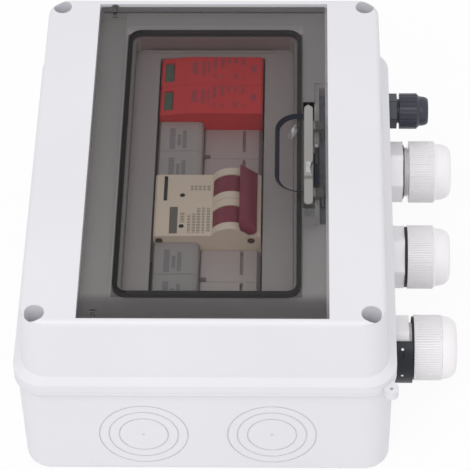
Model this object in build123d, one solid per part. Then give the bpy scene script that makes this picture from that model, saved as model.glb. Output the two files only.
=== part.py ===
"""Photovoltaic combiner (junction) box: sealed plastic enclosure with a hinged
smoked window, a DIN rail of protective devices and four cable glands.

Frame: millimetres, +Z out through the lid, +Y along the rail towards the surge
arrester, +X towards the cable glands. The origin is the centre of the back face.
"""
from build123d import *
import os
from math import acos, cos, degrees, radians, sin, sqrt, tan

# ----------------------------------------------------------------- enclosure
total_height = 92.0
parting_z = 53.4            # where the lid meets the base
flange_x = 157.0            # outer size of the two meeting flanges
flange_y = 201.6
flange_corner = 13.0
base_flange_depth = 1.7
base_x = 154.2              # base walls, measured under the flange
base_y = 197.4
base_corner = 11.5
base_draft = 0.7            # degrees
base_bottom_round = 3.0
wall = 3.0
floor = 3.0

lid_flange_depth = 4.1
lid_foot_x = 150.0          # lid walls, measured where they leave the flange
lid_foot_y = 197.0
lid_foot_rise = 3.5         # height of the sloping shoulder above the flange
lid_corner = 11.5
lid_draft = 3.2             # degrees
lid_edge_round = 2.2
lid_wall = 2.8

# Corner screws of the lid
corner_x = 67.3
corner_y = 91.35
corner_block_r = 6.0        # corner material round each screw, seen from inside
well_r = 4.05
well_wall = 2.2
well_floor = 4.4
lid_screw_r = 2.0
lid_screw_head_r = 3.6
lid_screw_head_h = 2.6
lid_screw_length = 26.0
screw_clearance = 0.2

# Seal between lid and base
seal_width = 2.0
seal_depth = 1.8
seal_inset = 0.8            # material left between the seal and the cavity
seal_gap = 0.05

# Sealing-wire lug at one corner of the flanges
lug_x = 76.1
lug_y = -99.1
lug_r = 2.9
lug_hole_r = 0.7
lug_base_thickness = 2.2
lug_lid_thickness = 1.6

# ------------------------------------------------- recess for the window door
window_x = 101.1
window_y0 = -94.3
window_y1 = 93.3
ledge_drop = 5.6            # recess floor below the top of the lid
recess_wall = 2.2
gasket_centre = (1.0, 0.7)
gasket_x = 76.5
gasket_y = 158.1
gasket_width = 1.9
gasket_corner = 6.0
gasket_gap = 0.1
well_margin = 1.2           # ledge left inside the gasket
panel_drop = 12.3           # top of the inner panel below the top of the lid
panel_lip = 1.0

hinge_x = -44.0
hinge_drop = 2.0            # hinge axis below the top of the lid
hinge_pin_r = 0.9
hinge_pin_grip = 1.5        # depth of the pin in the end wall of the lid
knuckle_r = 2.0
knuckle_length = 4.6
gutter_x = 39.0             # inner edge of the hinge gutter, from the middle
gutter_drop = 9.1

# Smoked door
door_drop = 1.0
door_thickness = 2.2
door_gap = 0.25
door_skirt = 1.0
door_skirt_width = 1.2
door_edge_round = 0.9
thumb_x0 = 28.1             # finger recess, flat side at the latch bar
thumb_length = 47.0
thumb_centre_y = 0.7
thumb_depth = 1.4
thumb_corner = 10.0
thumb_slope = 1.9           # width of its sloping side

# Latch
bar_x0 = 40.3
bar_x1 = 44.2
bar_length = 59.0
bar_depth = 3.8
latch_slot_x0 = 40.05
latch_slot_x1 = 45.1
latch_slot_gap = 2.9        # open length of the slot beyond the far end of the bar
latch_end_gap = 0.3
side_slot_x1 = 46.2
side_slot_y0 = -6.2
side_slot_y1 = 7.7
latch_axis_x = 42.0
latch_axis_drop = 5.4
latch_pin_r = 0.75
running_fit = 0.05
press_clearance = 0.02
latch_spine_r = 1.5
latch_ear_thickness = 1.4
latch_ear_depth = 4.2
bite_centre_y = -8.6
bite_radius = 9.0
bite_depth = 1.3
hook_centre_y = 20.0
hook_width = 5.0
hook_x0 = 47.8
hook_x1 = 48.8
hook_nose = 0.2
hook_drop = 10.5
arm_thickness = 1.2
trough_x0 = 40.1
trough_x1 = 44.9
trough_drop = 10.5
strike_pocket_drop = 6.8
strike_x0 = 46.9
strike_x1 = 49.4
strike_length = 82.0
strike_centre_y = 5.1
strike_drop = 13.5
strike_end_margin = 2.0
spring_turns = 5
spring_wire_r = 0.22

# ---------------------------------------------------------------- inner panel
panel_thickness = 1.6
panel_gap = 0.15
device_opening_x = 46.4
device_opening_gap = 1.0    # at each end of the row of devices
lift_slot_x = 54.0
lift_slot_y = 1.4
lift_lip = 1.0

# ---------------------------------------------------------- rail and devices
rail_drop = 72.0            # top of the rail below the top of the lid
rail_width = 35.0
rail_depth = 7.5
rail_sheet = 1.0
rail_channel = 27.0
rail_overhang = 8.1
rail_boss_r = 4.5
rail_screw_r = 1.9
rail_screw_head_r = 3.2
rail_screw_head_h = 2.2
rail_screw_inset = 4.0

module_pitch = 18.0
module_gap = 0.2
row_centre_y = -1.9
shoulder_x = 40.0
shoulder_rise = 44.0        # heights of the devices above the top of the rail
foot_fall = 5.5
foot_x = 33.0
nose_x = 22.4
rail_fit = 0.25
hook_reach = 1.4
clip_length = 21.0
clip_thickness = 2.6
clip_width = 9.0
terminal_x = 31.5
terminal_well_r = 3.1
terminal_well_depth = 7.0
terminal_screw_r = 2.7
terminal_screw_h = 4.0
wire_entry_r = 3.4
wire_entry_rise = 27.0
wire_entry_depth = 9.0

# Circuit breaker, two poles under one handle
breaker_nose_rise = 60.0
toggle_x = 9.8
toggle_rise = 55.0
toggle_reach = 13.4
toggle_drum_r = 8.9
toggle_shaft_r = 1.5
stem_thickness = 3.2
stem_width = 4.6
toggle_half_swing = 38.0
toggle_bar_lift = 1.3       # under the tie bar when it lies over
toggle_bar_length = 36.6
toggle_bar_round = 4.5      # of its two ends
drum_width = 9.6
drum_gap = 0.15
drum_rib = 3.9
drum_rib_r = 9.4
indicator_x = -10.8
indicator_shift_y = -3.2
indicator_r = 1.1
indicator_depth = 1.6
face_slot = (-18.7, -17.2)  # moulded slot of the far pole
face_slot_length = 14.4
face_slot_shift_y = 0.8
face_slot_depth = 2.5
rivet_r = 1.6
rivet_depth = 1.2
rivet_drop = 2.9            # below the nose, and below the shoulder
rivet_foot_drop = 30.0
nose_rivets_x = (-20.0, 18.4)
foot_rivets_x = (-34.0, 34.0)

# Fuse holders
fuse_plateau_rise = 56.3
fuse_plateau_x1 = -3.0
carrier_rise = 51.5
carrier_gap = 0.2
fuse_r = 5.15
fuse_length = 38.0
fuse_rise = 37.0
carrier_tongue_y = 13.0
grip_slot_x = 14.6
grip_slot_length = 13.2
grip_slot_width = 1.3

# Surge arrester
spd_nose_rise = 61.5
spd_left_rise = 60.0
spd_floor_rise = 20.0
spd_tower_gap = 0.3
spd_window_x = -18.6
spd_window_size = (4.2, 12.0)
blade_size = (1.0, 6.0, 8.0)

# --------------------------------------------------------------- cable glands
gland_z = 27.0
gland_pitch = 52.6
small_gland_y = 76.7
small_gland_z = 42.0
gland_pad_x = 76.6          # flat outer seats on the drafted wall
gland_pad_inner_x = 72.4
gland_pad_margin = 1.5
gland_hole_gap = 0.15
knockout_radii = (18.6, 14.6, 10.4)
knockout_groove = 0.45
knockout_step = 0.35
knockout_dot_r = 0.6
end_knockout_x = 26.6
end_knockout_centre_x = 0.8
end_knockout_z = 24.1

# Wall fixing holes in the back
fixing_x = 120.0
fixing_y = 160.0
fixing_hole_r = 2.5
fixing_boss_r = 5.5
fixing_boss_h = 1.6

# ------------------------------------------------------------ derived values
lid_top = total_height
ledge_z = lid_top - ledge_drop
door_top = lid_top - door_drop
door_under = door_top - door_thickness
panel_top = lid_top - panel_drop
hinge_z = lid_top - hinge_drop
latch_z = lid_top - latch_axis_drop
lid_flange_top = parting_z + lid_flange_depth
lid_foot_z = lid_flange_top + lid_foot_rise
cavity_x = base_x - 2 * wall
cavity_y = base_y - 2 * wall
window_half = window_x / 2
module_width = module_pitch - module_gap
latch_slot_y1 = bar_length / 2 + latch_slot_gap
rail_top_z = lid_top - rail_drop
rail_bottom_z = rail_top_z - rail_depth
shoulder_z = rail_top_z + shoulder_rise
foot_z = rail_top_z - foot_fall
wire_entry_z = rail_top_z + wire_entry_rise
breaker_nose_z = rail_top_z + breaker_nose_rise
toggle_z = rail_top_z + toggle_rise
fuse_plateau_z = rail_top_z + fuse_plateau_rise
carrier_z = rail_top_z + carrier_rise
fuse_z = rail_top_z + fuse_rise
spd_nose_z = rail_top_z + spd_nose_rise
spd_left_z = rail_top_z + spd_left_rise
spd_floor_z = rail_top_z + spd_floor_rise
row_half = 4 * module_pitch
rail_length = 2 * (row_half + rail_overhang)
gland_rows = [-gland_pitch, 0.0, gland_pitch]

# Slots of the row, counted from its -Y end: centre of each module
def slot_y(index):
    return row_centre_y - row_half + (index + 0.5) * module_pitch


fuse_slots = [0, 1, 4, 5]
breaker_slots = [2, 3]
spd_slots = [6, 7]


# -------------------------------------------------------------------- helpers
def block(x0, x1, y0, y1, z0, z1):
    """A box given by its limits."""
    centre = Pos((x0 + x1) / 2, (y0 + y1) / 2, (z0 + z1) / 2)
    return centre * Box(x1 - x0, y1 - y0, z1 - z0)


def rounded_prism(x, y, corner, z0, z1, centre=(0, 0), taper=0.0):
    """An upright prism with rounded corners; taper leans its walls inwards."""
    sketch = Pos(centre[0], centre[1], z0) * RectangleRounded(x, y, corner)
    return extrude(sketch, z1 - z0, taper=taper)


def rod(radius, start, end):
    """A cylinder between two points on a line parallel to an axis."""
    a, b = Vector(*start), Vector(*end)
    plane = Plane(origin=a, z_dir=b - a)
    return extrude(plane * Circle(radius), (b - a).length)


def profile_along_y(points, y0, y1):
    """A prism along Y from its outline in X and Z."""
    face = make_face(Polyline(*[(x, z) for x, z in points], close=True).edges())
    plane = Plane(origin=(0, y1, 0), x_dir=(1, 0, 0), z_dir=(0, -1, 0))
    return extrude(plane * face, y1 - y0)


def write(name, shape):
    export_step(shape, f"parts/{name}.step")
    print(f"{name}: {len(shape.solids())} solid(s), {shape.volume:.0f} mm3")


def group(solids):
    return Compound(children=list(solids))


# ----------------------------------------------------------------- enclosure
def corner_points():
    return [(sx * corner_x, sy * corner_y) for sx in (-1, 1) for sy in (-1, 1)]


def cavity_outline(grow=0.0):
    """Inside outline of the box: a rectangle stepped round its corner screws."""
    outline = Rectangle(cavity_x + 2 * grow, cavity_y + 2 * grow)
    radius = corner_block_r - grow
    reach = 30.0
    for x, y in corner_points():
        sx = 1 if x > 0 else -1
        sy = 1 if y > 0 else -1
        outline -= Pos(x, y) * Circle(radius)
        across = Rectangle(reach + radius, reach)
        along = Rectangle(reach, reach + radius)
        outline -= Pos(x + sx * (reach - radius) / 2, y + sy * reach / 2) * across
        outline -= Pos(x + sx * reach / 2, y + sy * (reach - radius) / 2) * along
    return outline


def outline_prism(grow, z0, z1):
    return extrude(Pos(0, 0, z0) * cavity_outline(grow), z1 - z0)


def lug(z0, z1):
    """Ear for a sealing wire, grown out of the flange corner."""
    ear = Pos(lug_x, lug_y, z0) * Circle(lug_r)
    root = Pos(lug_x - lug_r, lug_y + 2 * lug_r, z0) * Circle(lug_r)
    return extrude(make_hull((ear + root).edges()), z1 - z0)


def lug_hole(z0, z1):
    return rod(lug_hole_r, (lug_x, lug_y, z0 - 1), (lug_x, lug_y, z1 + 1))


def knockout(centre, outward):
    """Ring grooves and centre dot of a knock-out, square to the drafted wall."""
    lean = radians(base_draft)
    square = (outward[0] * cos(lean), outward[1] * cos(lean), -sin(lean))
    plane = Plane(origin=centre, z_dir=square)
    rings = Circle(knockout_dot_r)
    for radius in knockout_radii:
        rings += Circle(radius) - Circle(radius - knockout_groove)
    return extrude(plane * rings, -knockout_step) + extrude(plane * rings, 1.0)


def wall_face(half_size, z):
    """Distance of a drafted base wall from the middle, at a height."""
    return half_size - (parting_z - base_flange_depth - z) * tan(radians(base_draft))


def base_box():
    rim_z = parting_z - base_flange_depth
    shrink = rim_z * tan(radians(base_draft))
    body = rounded_prism(
        base_x - 2 * shrink, base_y - 2 * shrink, base_corner - shrink, 0, rim_z, taper=-base_draft
    )
    bottom_edges = body.edges().group_by(Axis.Z)[0]
    body = fillet(bottom_edges, base_bottom_round)
    body += rounded_prism(flange_x, flange_y, flange_corner, rim_z, parting_z)
    body += lug(parting_z - lug_base_thickness, parting_z)
    inner = rounded_prism(
        cavity_x - 2 * shrink, cavity_y - 2 * shrink, base_corner - wall, floor, rim_z, taper=-base_draft
    )
    body -= inner & outline_prism(0, floor, rim_z)
    body -= outline_prism(0, rim_z, parting_z)
    # gland seats: flat inside and outside on the drafted wall
    for g in glands.values():
        pad_r = g.collar_r + gland_pad_margin
        body += rod(pad_r, (gland_pad_inner_x, g.y, g.z), (gland_pad_x, g.y, g.z))
    for g in glands.values():
        pad_r = g.collar_r + gland_pad_margin
        hole_r = g.thread_r + gland_hole_gap
        body -= rod(pad_r, (gland_pad_x, g.y, g.z), (gland_pad_x + wall, g.y, g.z))
        body -= rod(hole_r, (gland_pad_inner_x - wall, g.y, g.z), (gland_pad_x + wall, g.y, g.z))
    # bosses for the rail and for the wall screws
    for y in rail_screw_places():
        body += rod(rail_boss_r, (0, y, floor / 2), (0, y, rail_bottom_z))
        body -= rod(rail_screw_r - 0.3, (0, y, floor), (0, y, rail_bottom_z + 1))
    for x, y in fixing_points():
        body += rod(fixing_boss_r, (x, y, floor / 2), (x, y, floor + fixing_boss_h))
        body -= rod(fixing_hole_r, (x, y, -1), (x, y, floor + fixing_boss_h + 1))
    # pilot holes of the lid screws and the seal groove
    for x, y in corner_points():
        body -= rod(lid_screw_r, (x, y, lid_screw_tip_z() - 2), (x, y, parting_z + 1))
    body -= seal_ring(parting_z + 1)
    body -= lug_hole(parting_z - lug_base_thickness, parting_z)
    # knock-outs: three on the plain long side, two on each end
    for y in gland_rows:
        body -= knockout((-wall_face(base_x / 2, gland_z), y, gland_z), (-1, 0, 0))
    for side in (-1, 1):
        for x in (end_knockout_centre_x - end_knockout_x, end_knockout_centre_x + end_knockout_x):
            face = side * wall_face(base_y / 2, end_knockout_z)
            body -= knockout((x, face, end_knockout_z), (0, side, 0))
    return body


def fixing_points():
    return [(sx * fixing_x / 2, sy * fixing_y / 2) for sx in (-1, 1) for sy in (-1, 1)]


def lid_screw_tip_z():
    return parting_z + well_floor - lid_screw_length


def seal_ring(top):
    outer = outline_prism(seal_inset + seal_width, parting_z - seal_depth, top)
    return outer - outline_prism(seal_inset, parting_z - seal_depth - 1, top + 1)


def well_size():
    """Opening of the stepped recess over the inner panel."""
    inside = 2 * (gasket_width + well_margin)
    return gasket_x - inside, gasket_y - inside, gasket_corner - gasket_width


def lid_cover():
    flange = rounded_prism(flange_x, flange_y, flange_corner, parting_z, lid_flange_top)
    shoulder = loft([
        Pos(0, 0, lid_flange_top) * RectangleRounded(flange_x, flange_y, flange_corner),
        Pos(0, 0, lid_foot_z) * RectangleRounded(lid_foot_x, lid_foot_y, lid_corner),
    ])
    hood = rounded_prism(lid_foot_x, lid_foot_y, lid_corner, lid_foot_z, lid_top, taper=lid_draft)
    hood = fillet(hood.edges().group_by(Axis.Z)[-1], lid_edge_round)
    body = flange + shoulder + hood + lug(parting_z, parting_z + lug_lid_thickness)
    # inside of the hood
    lean = (lid_foot_z - lid_flange_top) * tan(radians(lid_draft))
    inside_x = lid_foot_x - 2 * lid_wall + 2 * lean
    inside_y = lid_foot_y - 2 * lid_wall + 2 * lean
    hollow = rounded_prism(
        inside_x, inside_y, lid_corner - lid_wall, lid_flange_top, lid_top - lid_wall, taper=lid_draft
    )
    body -= hollow
    body -= outline_prism(0, parting_z - 1, lid_flange_top) & rounded_prism(
        inside_x, inside_y, lid_corner - lid_wall, parting_z - 1, lid_flange_top
    )
    # tub that carries the door, gutter, latch trough, strike pocket and well
    well_x, well_y, well_corner = well_size()
    tub_y0 = window_y0 - recess_wall + 0.3
    tub_y1 = window_y1 + recess_wall - 0.3
    side = window_half + recess_wall
    body += block(-side, side, tub_y0, tub_y1, ledge_z - recess_wall, lid_top - lid_wall)
    body += block(-side, -gutter_x + recess_wall, tub_y0, tub_y1, gutter_z() - recess_wall, ledge_z)
    body += block(
        trough_x0 - recess_wall, trough_x1 + recess_wall, trough_y0() - recess_wall,
        trough_y1() + recess_wall, lid_top - trough_drop - recess_wall, ledge_z,
    )
    body += block(
        strike_x0 - recess_wall, strike_x1 + recess_wall, strike_y0() - recess_wall,
        strike_y1() + recess_wall, lid_top - strike_drop - recess_wall, ledge_z,
    )
    body += rounded_prism(
        well_x + 2 * recess_wall, well_y + 2 * recess_wall, well_corner + recess_wall,
        panel_top - panel_thickness - recess_wall, ledge_z, centre=gasket_centre,
    )
    body -= block(-window_half, window_half, window_y0, window_y1, ledge_z, lid_top + 1)
    body -= block(-window_half, -gutter_x, window_y0, window_y1, gutter_z(), ledge_z + 1)
    body -= block(trough_x0, trough_x1, trough_y0(), trough_y1(), lid_top - trough_drop, ledge_z + 1)
    body -= block(
        trough_x1 - 0.01, window_half, strike_y0() - strike_end_margin, strike_y1() + strike_end_margin,
        lid_top - strike_pocket_drop, ledge_z + 1,
    )
    body -= block(strike_x0, strike_x1, strike_y0(), strike_y1(), lid_top - strike_drop, ledge_z + 1)
    body -= rounded_prism(
        well_x, well_y, well_corner, panel_top - panel_thickness, ledge_z + 1, centre=gasket_centre
    )
    body -= rounded_prism(
        well_x - 2 * panel_lip, well_y - 2 * panel_lip, 2.0,
        panel_top - panel_thickness - recess_wall - 1, ledge_z, centre=gasket_centre,
    )
    slot_far = gasket_centre[1] + well_y / 2
    body -= block(
        -lift_slot_x / 2, lift_slot_x / 2, slot_far - lift_slot_y, slot_far,
        panel_top - panel_thickness - recess_wall - 1, panel_top - panel_thickness + 0.5,
    )
    # corner wells of the lid screws
    for x, y in corner_points():
        body += rod(well_r + well_wall, (x, y, parting_z), (x, y, lid_top - lid_wall / 2)) & hood_limit()
    for x, y in corner_points():
        body -= rod(well_r, (x, y, parting_z + well_floor), (x, y, lid_top + 1))
        body -= rod(lid_screw_r + screw_clearance, (x, y, parting_z - 1), (x, y, lid_top))
    # blind holes of the hinge pins
    for y, out in ((window_y0, -1), (window_y1, 1)):
        start = (hinge_x, y - out, hinge_z)
        end = (hinge_x, y + out * hinge_pin_grip, hinge_z)
        body -= rod(hinge_pin_r + press_clearance, start, end)
    body -= lug_hole(parting_z, lid_flange_top)
    return body


def hood_limit():
    """Space inside the outer skin of the lid, to trim what stands in its corners."""
    lower = rounded_prism(lid_foot_x, lid_foot_y, lid_corner, parting_z, lid_foot_z)
    return lower + rounded_prism(lid_foot_x, lid_foot_y, lid_corner, lid_foot_z, lid_top, taper=lid_draft)


def strike_y0():
    return strike_centre_y - strike_length / 2


def strike_y1():
    return strike_centre_y + strike_length / 2


def gutter_z():
    return lid_top - gutter_drop


def trough_y0():
    return -bar_length / 2 - latch_ear_thickness - 2.1


def trough_y1():
    return latch_slot_y1 + latch_ear_thickness + 2.0


def lid_screws():
    seat = parting_z + well_floor
    screws = []
    for x, y in corner_points():
        head = rod(lid_screw_head_r, (x, y, seat), (x, y, seat + lid_screw_head_h))
        head = fillet(head.edges().group_by(Axis.Z)[-1], 0.8)
        screw = head + rod(lid_screw_r - 0.1, (x, y, lid_screw_tip_z()), (x, y, seat))
        cross = Box(4.6, 1.0, 2.8) + Box(1.0, 4.6, 2.8)
        screws.append(screw - Pos(x, y, seat + lid_screw_head_h) * cross)
    return group(screws)


def lid_seal():
    return seal_ring(parting_z - seal_gap)


# ----------------------------------------------------------------- window door
def door_limits():
    half = window_half - door_gap
    return -half, half, window_y0 + door_gap, window_y1 - door_gap


def thumb_recess():
    """D-shaped finger recess with sloping sides, open towards the latch bar."""
    edge = thumb_outline(0.0)
    floor_edge = thumb_outline(thumb_slope)
    x1 = latch_slot_x0 + door_gap
    top = Pos(x1, thumb_centre_y, door_top) * edge
    bottom = Pos(x1, thumb_centre_y, door_top - thumb_depth) * floor_edge
    bowl = loft([bottom, top])
    half = block(
        thumb_x0 - 1, x1, thumb_centre_y - thumb_length, thumb_centre_y + thumb_length,
        door_top - thumb_depth - 1, door_top + 1,
    )
    return (bowl + extrude(top, 1)) & half


def thumb_outline(inset):
    """Rounded rectangle whose left half is the D of the finger recess."""
    width = latch_slot_x0 + door_gap - thumb_x0 - inset
    return RectangleRounded(2 * width, thumb_length - 2 * inset, thumb_corner - inset)


def latch_ears():
    return [
        (-bar_length / 2 - latch_end_gap - latch_ear_thickness, -bar_length / 2 - latch_end_gap),
        (latch_slot_y1 + 0.6, latch_slot_y1 + 0.6 + latch_ear_thickness),
    ]


def door_window():
    x0, x1, y0, y1 = door_limits()
    plate = block(x0, x1, y0, y1, door_under, door_top)
    upright = plate.edges().filter_by(Axis.Z)
    plate = fillet(upright, 1.0)
    plate = fillet(plate.edges().group_by(Axis.Z)[-1], door_edge_round)
    skirt = block(x0, x1, y0, y1, door_under - door_skirt, door_under)
    skirt -= block(
        x0 + door_skirt_width, x1 - door_skirt_width, y0 + door_skirt_width, y1 - door_skirt_width,
        door_under - door_skirt - 1, door_under + 1,
    )
    skirt = fillet(skirt.edges().filter_by(Axis.Z).group_by(Axis.X)[0], 1.0)
    door = plate + skirt
    for y_end, inward in ((y0, 1), (y1, -1)):
        door += rod(knuckle_r, (hinge_x, y_end, hinge_z), (hinge_x, y_end + inward * knuckle_length, hinge_z))
    for ear_y0, ear_y1 in latch_ears():
        door += ear(ear_y0, ear_y1)
    for y_end, inward in ((y0, 1), (y1, -1)):
        door -= rod(
            hinge_pin_r + running_fit, (hinge_x, y_end - inward, hinge_z),
            (hinge_x, y_end + inward * (knuckle_length - 0.6), hinge_z),
        )
    door -= thumb_recess()
    door -= block(
        latch_slot_x0, latch_slot_x1, -bar_length / 2 - latch_end_gap, latch_slot_y1,
        door_under - 0.01, door_top + 1,
    )
    door -= block(
        latch_slot_x1 - 1, side_slot_x1, side_slot_y0, side_slot_y1, door_under - 0.01, door_top + 1,
    )
    first, last = latch_ears()[0][0], latch_ears()[1][1]
    door -= rod(
        latch_pin_r + press_clearance, (latch_axis_x, first - 1, latch_z), (latch_axis_x, last + 1, latch_z)
    )
    return door


def ear(y0, y1):
    """Bearing ear of the latch pin under the door, rounded at its foot."""
    radius = latch_spine_r
    web = block(latch_axis_x - radius, latch_axis_x + radius, y0, y1, latch_z, door_under)
    return web + rod(radius, (latch_axis_x, y0, latch_z), (latch_axis_x, y1, latch_z))


def door_gasket():
    z0 = ledge_z + gasket_gap
    outer = rounded_prism(gasket_x, gasket_y, gasket_corner, z0, door_under, centre=gasket_centre)
    return outer - rounded_prism(
        gasket_x - 2 * gasket_width, gasket_y - 2 * gasket_width, gasket_corner - gasket_width,
        z0 - 1, door_under + 1, centre=gasket_centre,
    )


def hinge_pins():
    pins = []
    for y, out in ((window_y0, -1), (window_y1, 1)):
        start = y + out * (hinge_pin_grip - 0.1)
        end = y - out * (door_gap + knuckle_length - 0.9)
        pins.append(rod(hinge_pin_r, (hinge_x, start, hinge_z), (hinge_x, end, hinge_z)))
    return group(pins)


def latch_lever():
    half = bar_length / 2
    width = bar_x1 - bar_x0
    centre = (bar_x0 + bar_x1) / 2
    sketch = Pos(centre, 0, door_top - bar_depth) * SlotOverall(bar_length, width, rotation=90)
    bar = extrude(sketch, bar_depth)
    bar = fillet(bar.edges().group_by(Axis.Z)[-1], 0.6)
    bite_x = bar_x1 - bite_depth + bite_radius
    bar -= rod(bite_radius, (bite_x, bite_centre_y, door_top - bar_depth / 2), (bite_x, bite_centre_y, door_top + 1))
    dimple = Pos(centre + 0.2, bite_centre_y + 1.8, door_top + 1.2) * Sphere(1.7)
    bar -= dimple
    ends = half - width / 2
    spine = rod(latch_spine_r, (latch_axis_x, -ends, latch_z), (latch_axis_x, ends, latch_z))
    web = block(
        latch_axis_x - latch_spine_r, latch_axis_x + latch_spine_r, -ends, ends, latch_z, door_top - bar_depth
    )
    lever = bar + spine + web
    arm_top = door_under - 0.6
    for side in (-1, 1):
        y0 = side * hook_centre_y - hook_width / 2
        y1 = y0 + hook_width
        bottom = lid_top - hook_drop
        hook = [
            (latch_axis_x, arm_top - arm_thickness), (latch_axis_x, arm_top), (hook_x1, arm_top),
            (hook_x1, bottom + 1.6), (hook_x1 + hook_nose, bottom + 1.4), (hook_x1 + hook_nose, bottom + 0.6),
            (hook_x0 + 0.4, bottom), (hook_x0, bottom + 0.4), (hook_x0, arm_top - arm_thickness),
        ]
        lever += profile_along_y(hook, y0, y1)
    bore = rod(latch_pin_r + running_fit, (latch_axis_x, -half - 1, latch_z), (latch_axis_x, half + 1, latch_z))
    return lever - bore


def latch_pin():
    first, last = latch_ears()[0][0], latch_ears()[1][1]
    return rod(latch_pin_r, (latch_axis_x, first, latch_z), (latch_axis_x, last, latch_z))


def latch_spring():
    """Torsion coil on the pin, between the end of the lever and the far ear."""
    radius = latch_pin_r + 0.25 + spring_wire_r
    pitch = 2 * spring_wire_r + 0.08
    start = bar_length / 2 + 0.4
    helix = Helix(pitch=pitch, height=spring_turns * pitch, radius=radius)
    wire = Wire(helix.edges())
    section = Plane(origin=wire @ 0, z_dir=wire % 0) * Circle(spring_wire_r)
    coil = sweep(section, path=wire)
    place = Plane(origin=(latch_axis_x, start, latch_z), x_dir=(1, 0, 0), z_dir=(0, 1, 0))
    return place * coil


# ---------------------------------------------------------------- inner panel
def inner_panel():
    well_x, well_y, well_corner = well_size()
    z0 = panel_top - panel_thickness
    panel = rounded_prism(
        well_x - 2 * panel_gap, well_y - 2 * panel_gap, well_corner - panel_gap, z0, panel_top,
        centre=gasket_centre,
    )
    panel -= rounded_prism(
        device_opening_x, 2 * (row_half + device_opening_gap), 0.8, z0 - 1, panel_top + 1,
        centre=(0, row_centre_y),
    )
    edge = gasket_centre[1] + well_y / 2 - panel_gap
    panel -= block(-lift_slot_x / 2, lift_slot_x / 2, edge - lift_slot_y, edge + 1, z0 - 1, panel_top + 1)
    lip = block(
        -lift_slot_x / 2, lift_slot_x / 2, edge - lift_slot_y - lift_lip, edge - lift_slot_y,
        panel_top, panel_top + lift_lip,
    )
    return panel + lip


# ---------------------------------------------------------- rail and devices
def rail_screw_places():
    reach = row_half + rail_screw_inset
    return [row_centre_y - reach, row_centre_y + reach]


def din_rail():
    half = rail_width / 2
    channel = rail_channel / 2
    t = rail_sheet
    top, bottom = rail_top_z, rail_bottom_z
    section = [
        (-half, top), (-channel, top), (-channel, bottom + t), (channel, bottom + t), (channel, top), (half, top),
        (half, top - t), (channel + t, top - t), (channel + t, bottom), (-channel - t, bottom),
        (-channel - t, top - t), (-half, top - t),
    ]
    y0 = row_centre_y - rail_length / 2
    rail = profile_along_y(section, y0, y0 + rail_length)
    for y in rail_screw_places():
        slot = Pos(0, y, bottom - 1) * SlotOverall(7.5, 2 * (rail_screw_r + screw_clearance), rotation=90)
        rail -= extrude(slot, rail_sheet + 2)
    return rail


def rail_screws():
    screws = []
    for y in rail_screw_places():
        seat = rail_bottom_z + rail_sheet
        head = rod(rail_screw_head_r, (0, y, seat), (0, y, seat + rail_screw_head_h))
        screw = head + rod(rail_screw_r - 0.35, (0, y, floor + 1), (0, y, seat))
        screws.append(screw - Pos(0, y, seat + rail_screw_head_h) * Box(5, 1, 2))
    return group(screws)


def device_section(nose):
    """Outline in X and Z of a rail device: feet, rail notch, shoulders, then its nose."""
    notch = rail_width / 2 + rail_fit
    lip_top = rail_top_z + 0.1
    lip_under = rail_top_z - rail_sheet - 0.1
    left = [
        (-notch, lip_top), (-notch, lip_under), (-notch + hook_reach, lip_under - 0.4),
        (-notch + hook_reach, lip_under - 1.2), (-notch, foot_z),
        (-foot_x, foot_z), (-shoulder_x, foot_z + 7), (-shoulder_x, shoulder_z),
    ]
    right = [(shoulder_x, shoulder_z), (shoulder_x, foot_z + 7), (foot_x, foot_z)]
    # the right foot is relieved for the sliding clip
    clip_top = rail_top_z - rail_sheet - 0.2
    right += [(notch + 1.2, foot_z), (notch + 1.2, clip_top), (notch, clip_top), (notch, lip_top)]
    return left + nose + right


def device_block(nose, first_slot, last_slot):
    y0 = slot_y(first_slot) - module_width / 2
    y1 = slot_y(last_slot) + module_width / 2
    return profile_along_y(device_section(nose), y0, y1)


def clip_channel(slots):
    """Guide in the foot where the clip slides, under the middle of the device."""
    y = (slot_y(slots[0]) + slot_y(slots[-1])) / 2
    notch = rail_width / 2 + rail_fit
    return block(
        notch - 0.5, shoulder_x + 1, y - clip_width / 2 - 0.15, y + clip_width / 2 + 0.15,
        foot_z - 1, foot_z + clip_thickness + 0.15,
    )


def rail_clip(slots):
    """Sliding foot that catches the second lip of the rail."""
    y = (slot_y(slots[0]) + slot_y(slots[-1])) / 2
    x0 = rail_width / 2 + rail_fit - hook_reach
    z0 = foot_z
    outline = [
        (x0, z0 + 0.6), (x0 + 0.6, z0), (x0 + clip_length, z0), (x0 + clip_length + 1.5, z0 - 0.8),
        (x0 + clip_length + 3.0, z0 - 0.8), (x0 + clip_length + 3.0, z0 + clip_thickness),
        (x0 + 1.2, z0 + clip_thickness), (x0, z0 + clip_thickness - 0.6),
    ]
    return profile_along_y(outline, y - clip_width / 2, y + clip_width / 2)


def terminal_places():
    return [(side * terminal_x, slot_y(i)) for i in range(8) for side in (-1, 1)]


def cut_terminals(device, slots):
    for index in slots:
        y = slot_y(index)
        for side in (-1, 1):
            device -= rod(
                terminal_well_r, (side * terminal_x, y, shoulder_z - terminal_well_depth),
                (side * terminal_x, y, shoulder_z + 1),
            )
            device -= rod(
                wire_entry_r, (side * (shoulder_x - wire_entry_depth), y, wire_entry_z),
                (side * (shoulder_x + 1), y, wire_entry_z),
            )
    return device


def terminal_screws():
    z0 = shoulder_z - terminal_well_depth
    screws = []
    for x, y in terminal_places():
        screw = rod(terminal_screw_r, (x, y, z0), (x, y, z0 + terminal_screw_h))
        screws.append(screw - Pos(x, y, z0 + terminal_screw_h) * Box(4.4, 0.9, 2.0))
    return group(screws)


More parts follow.
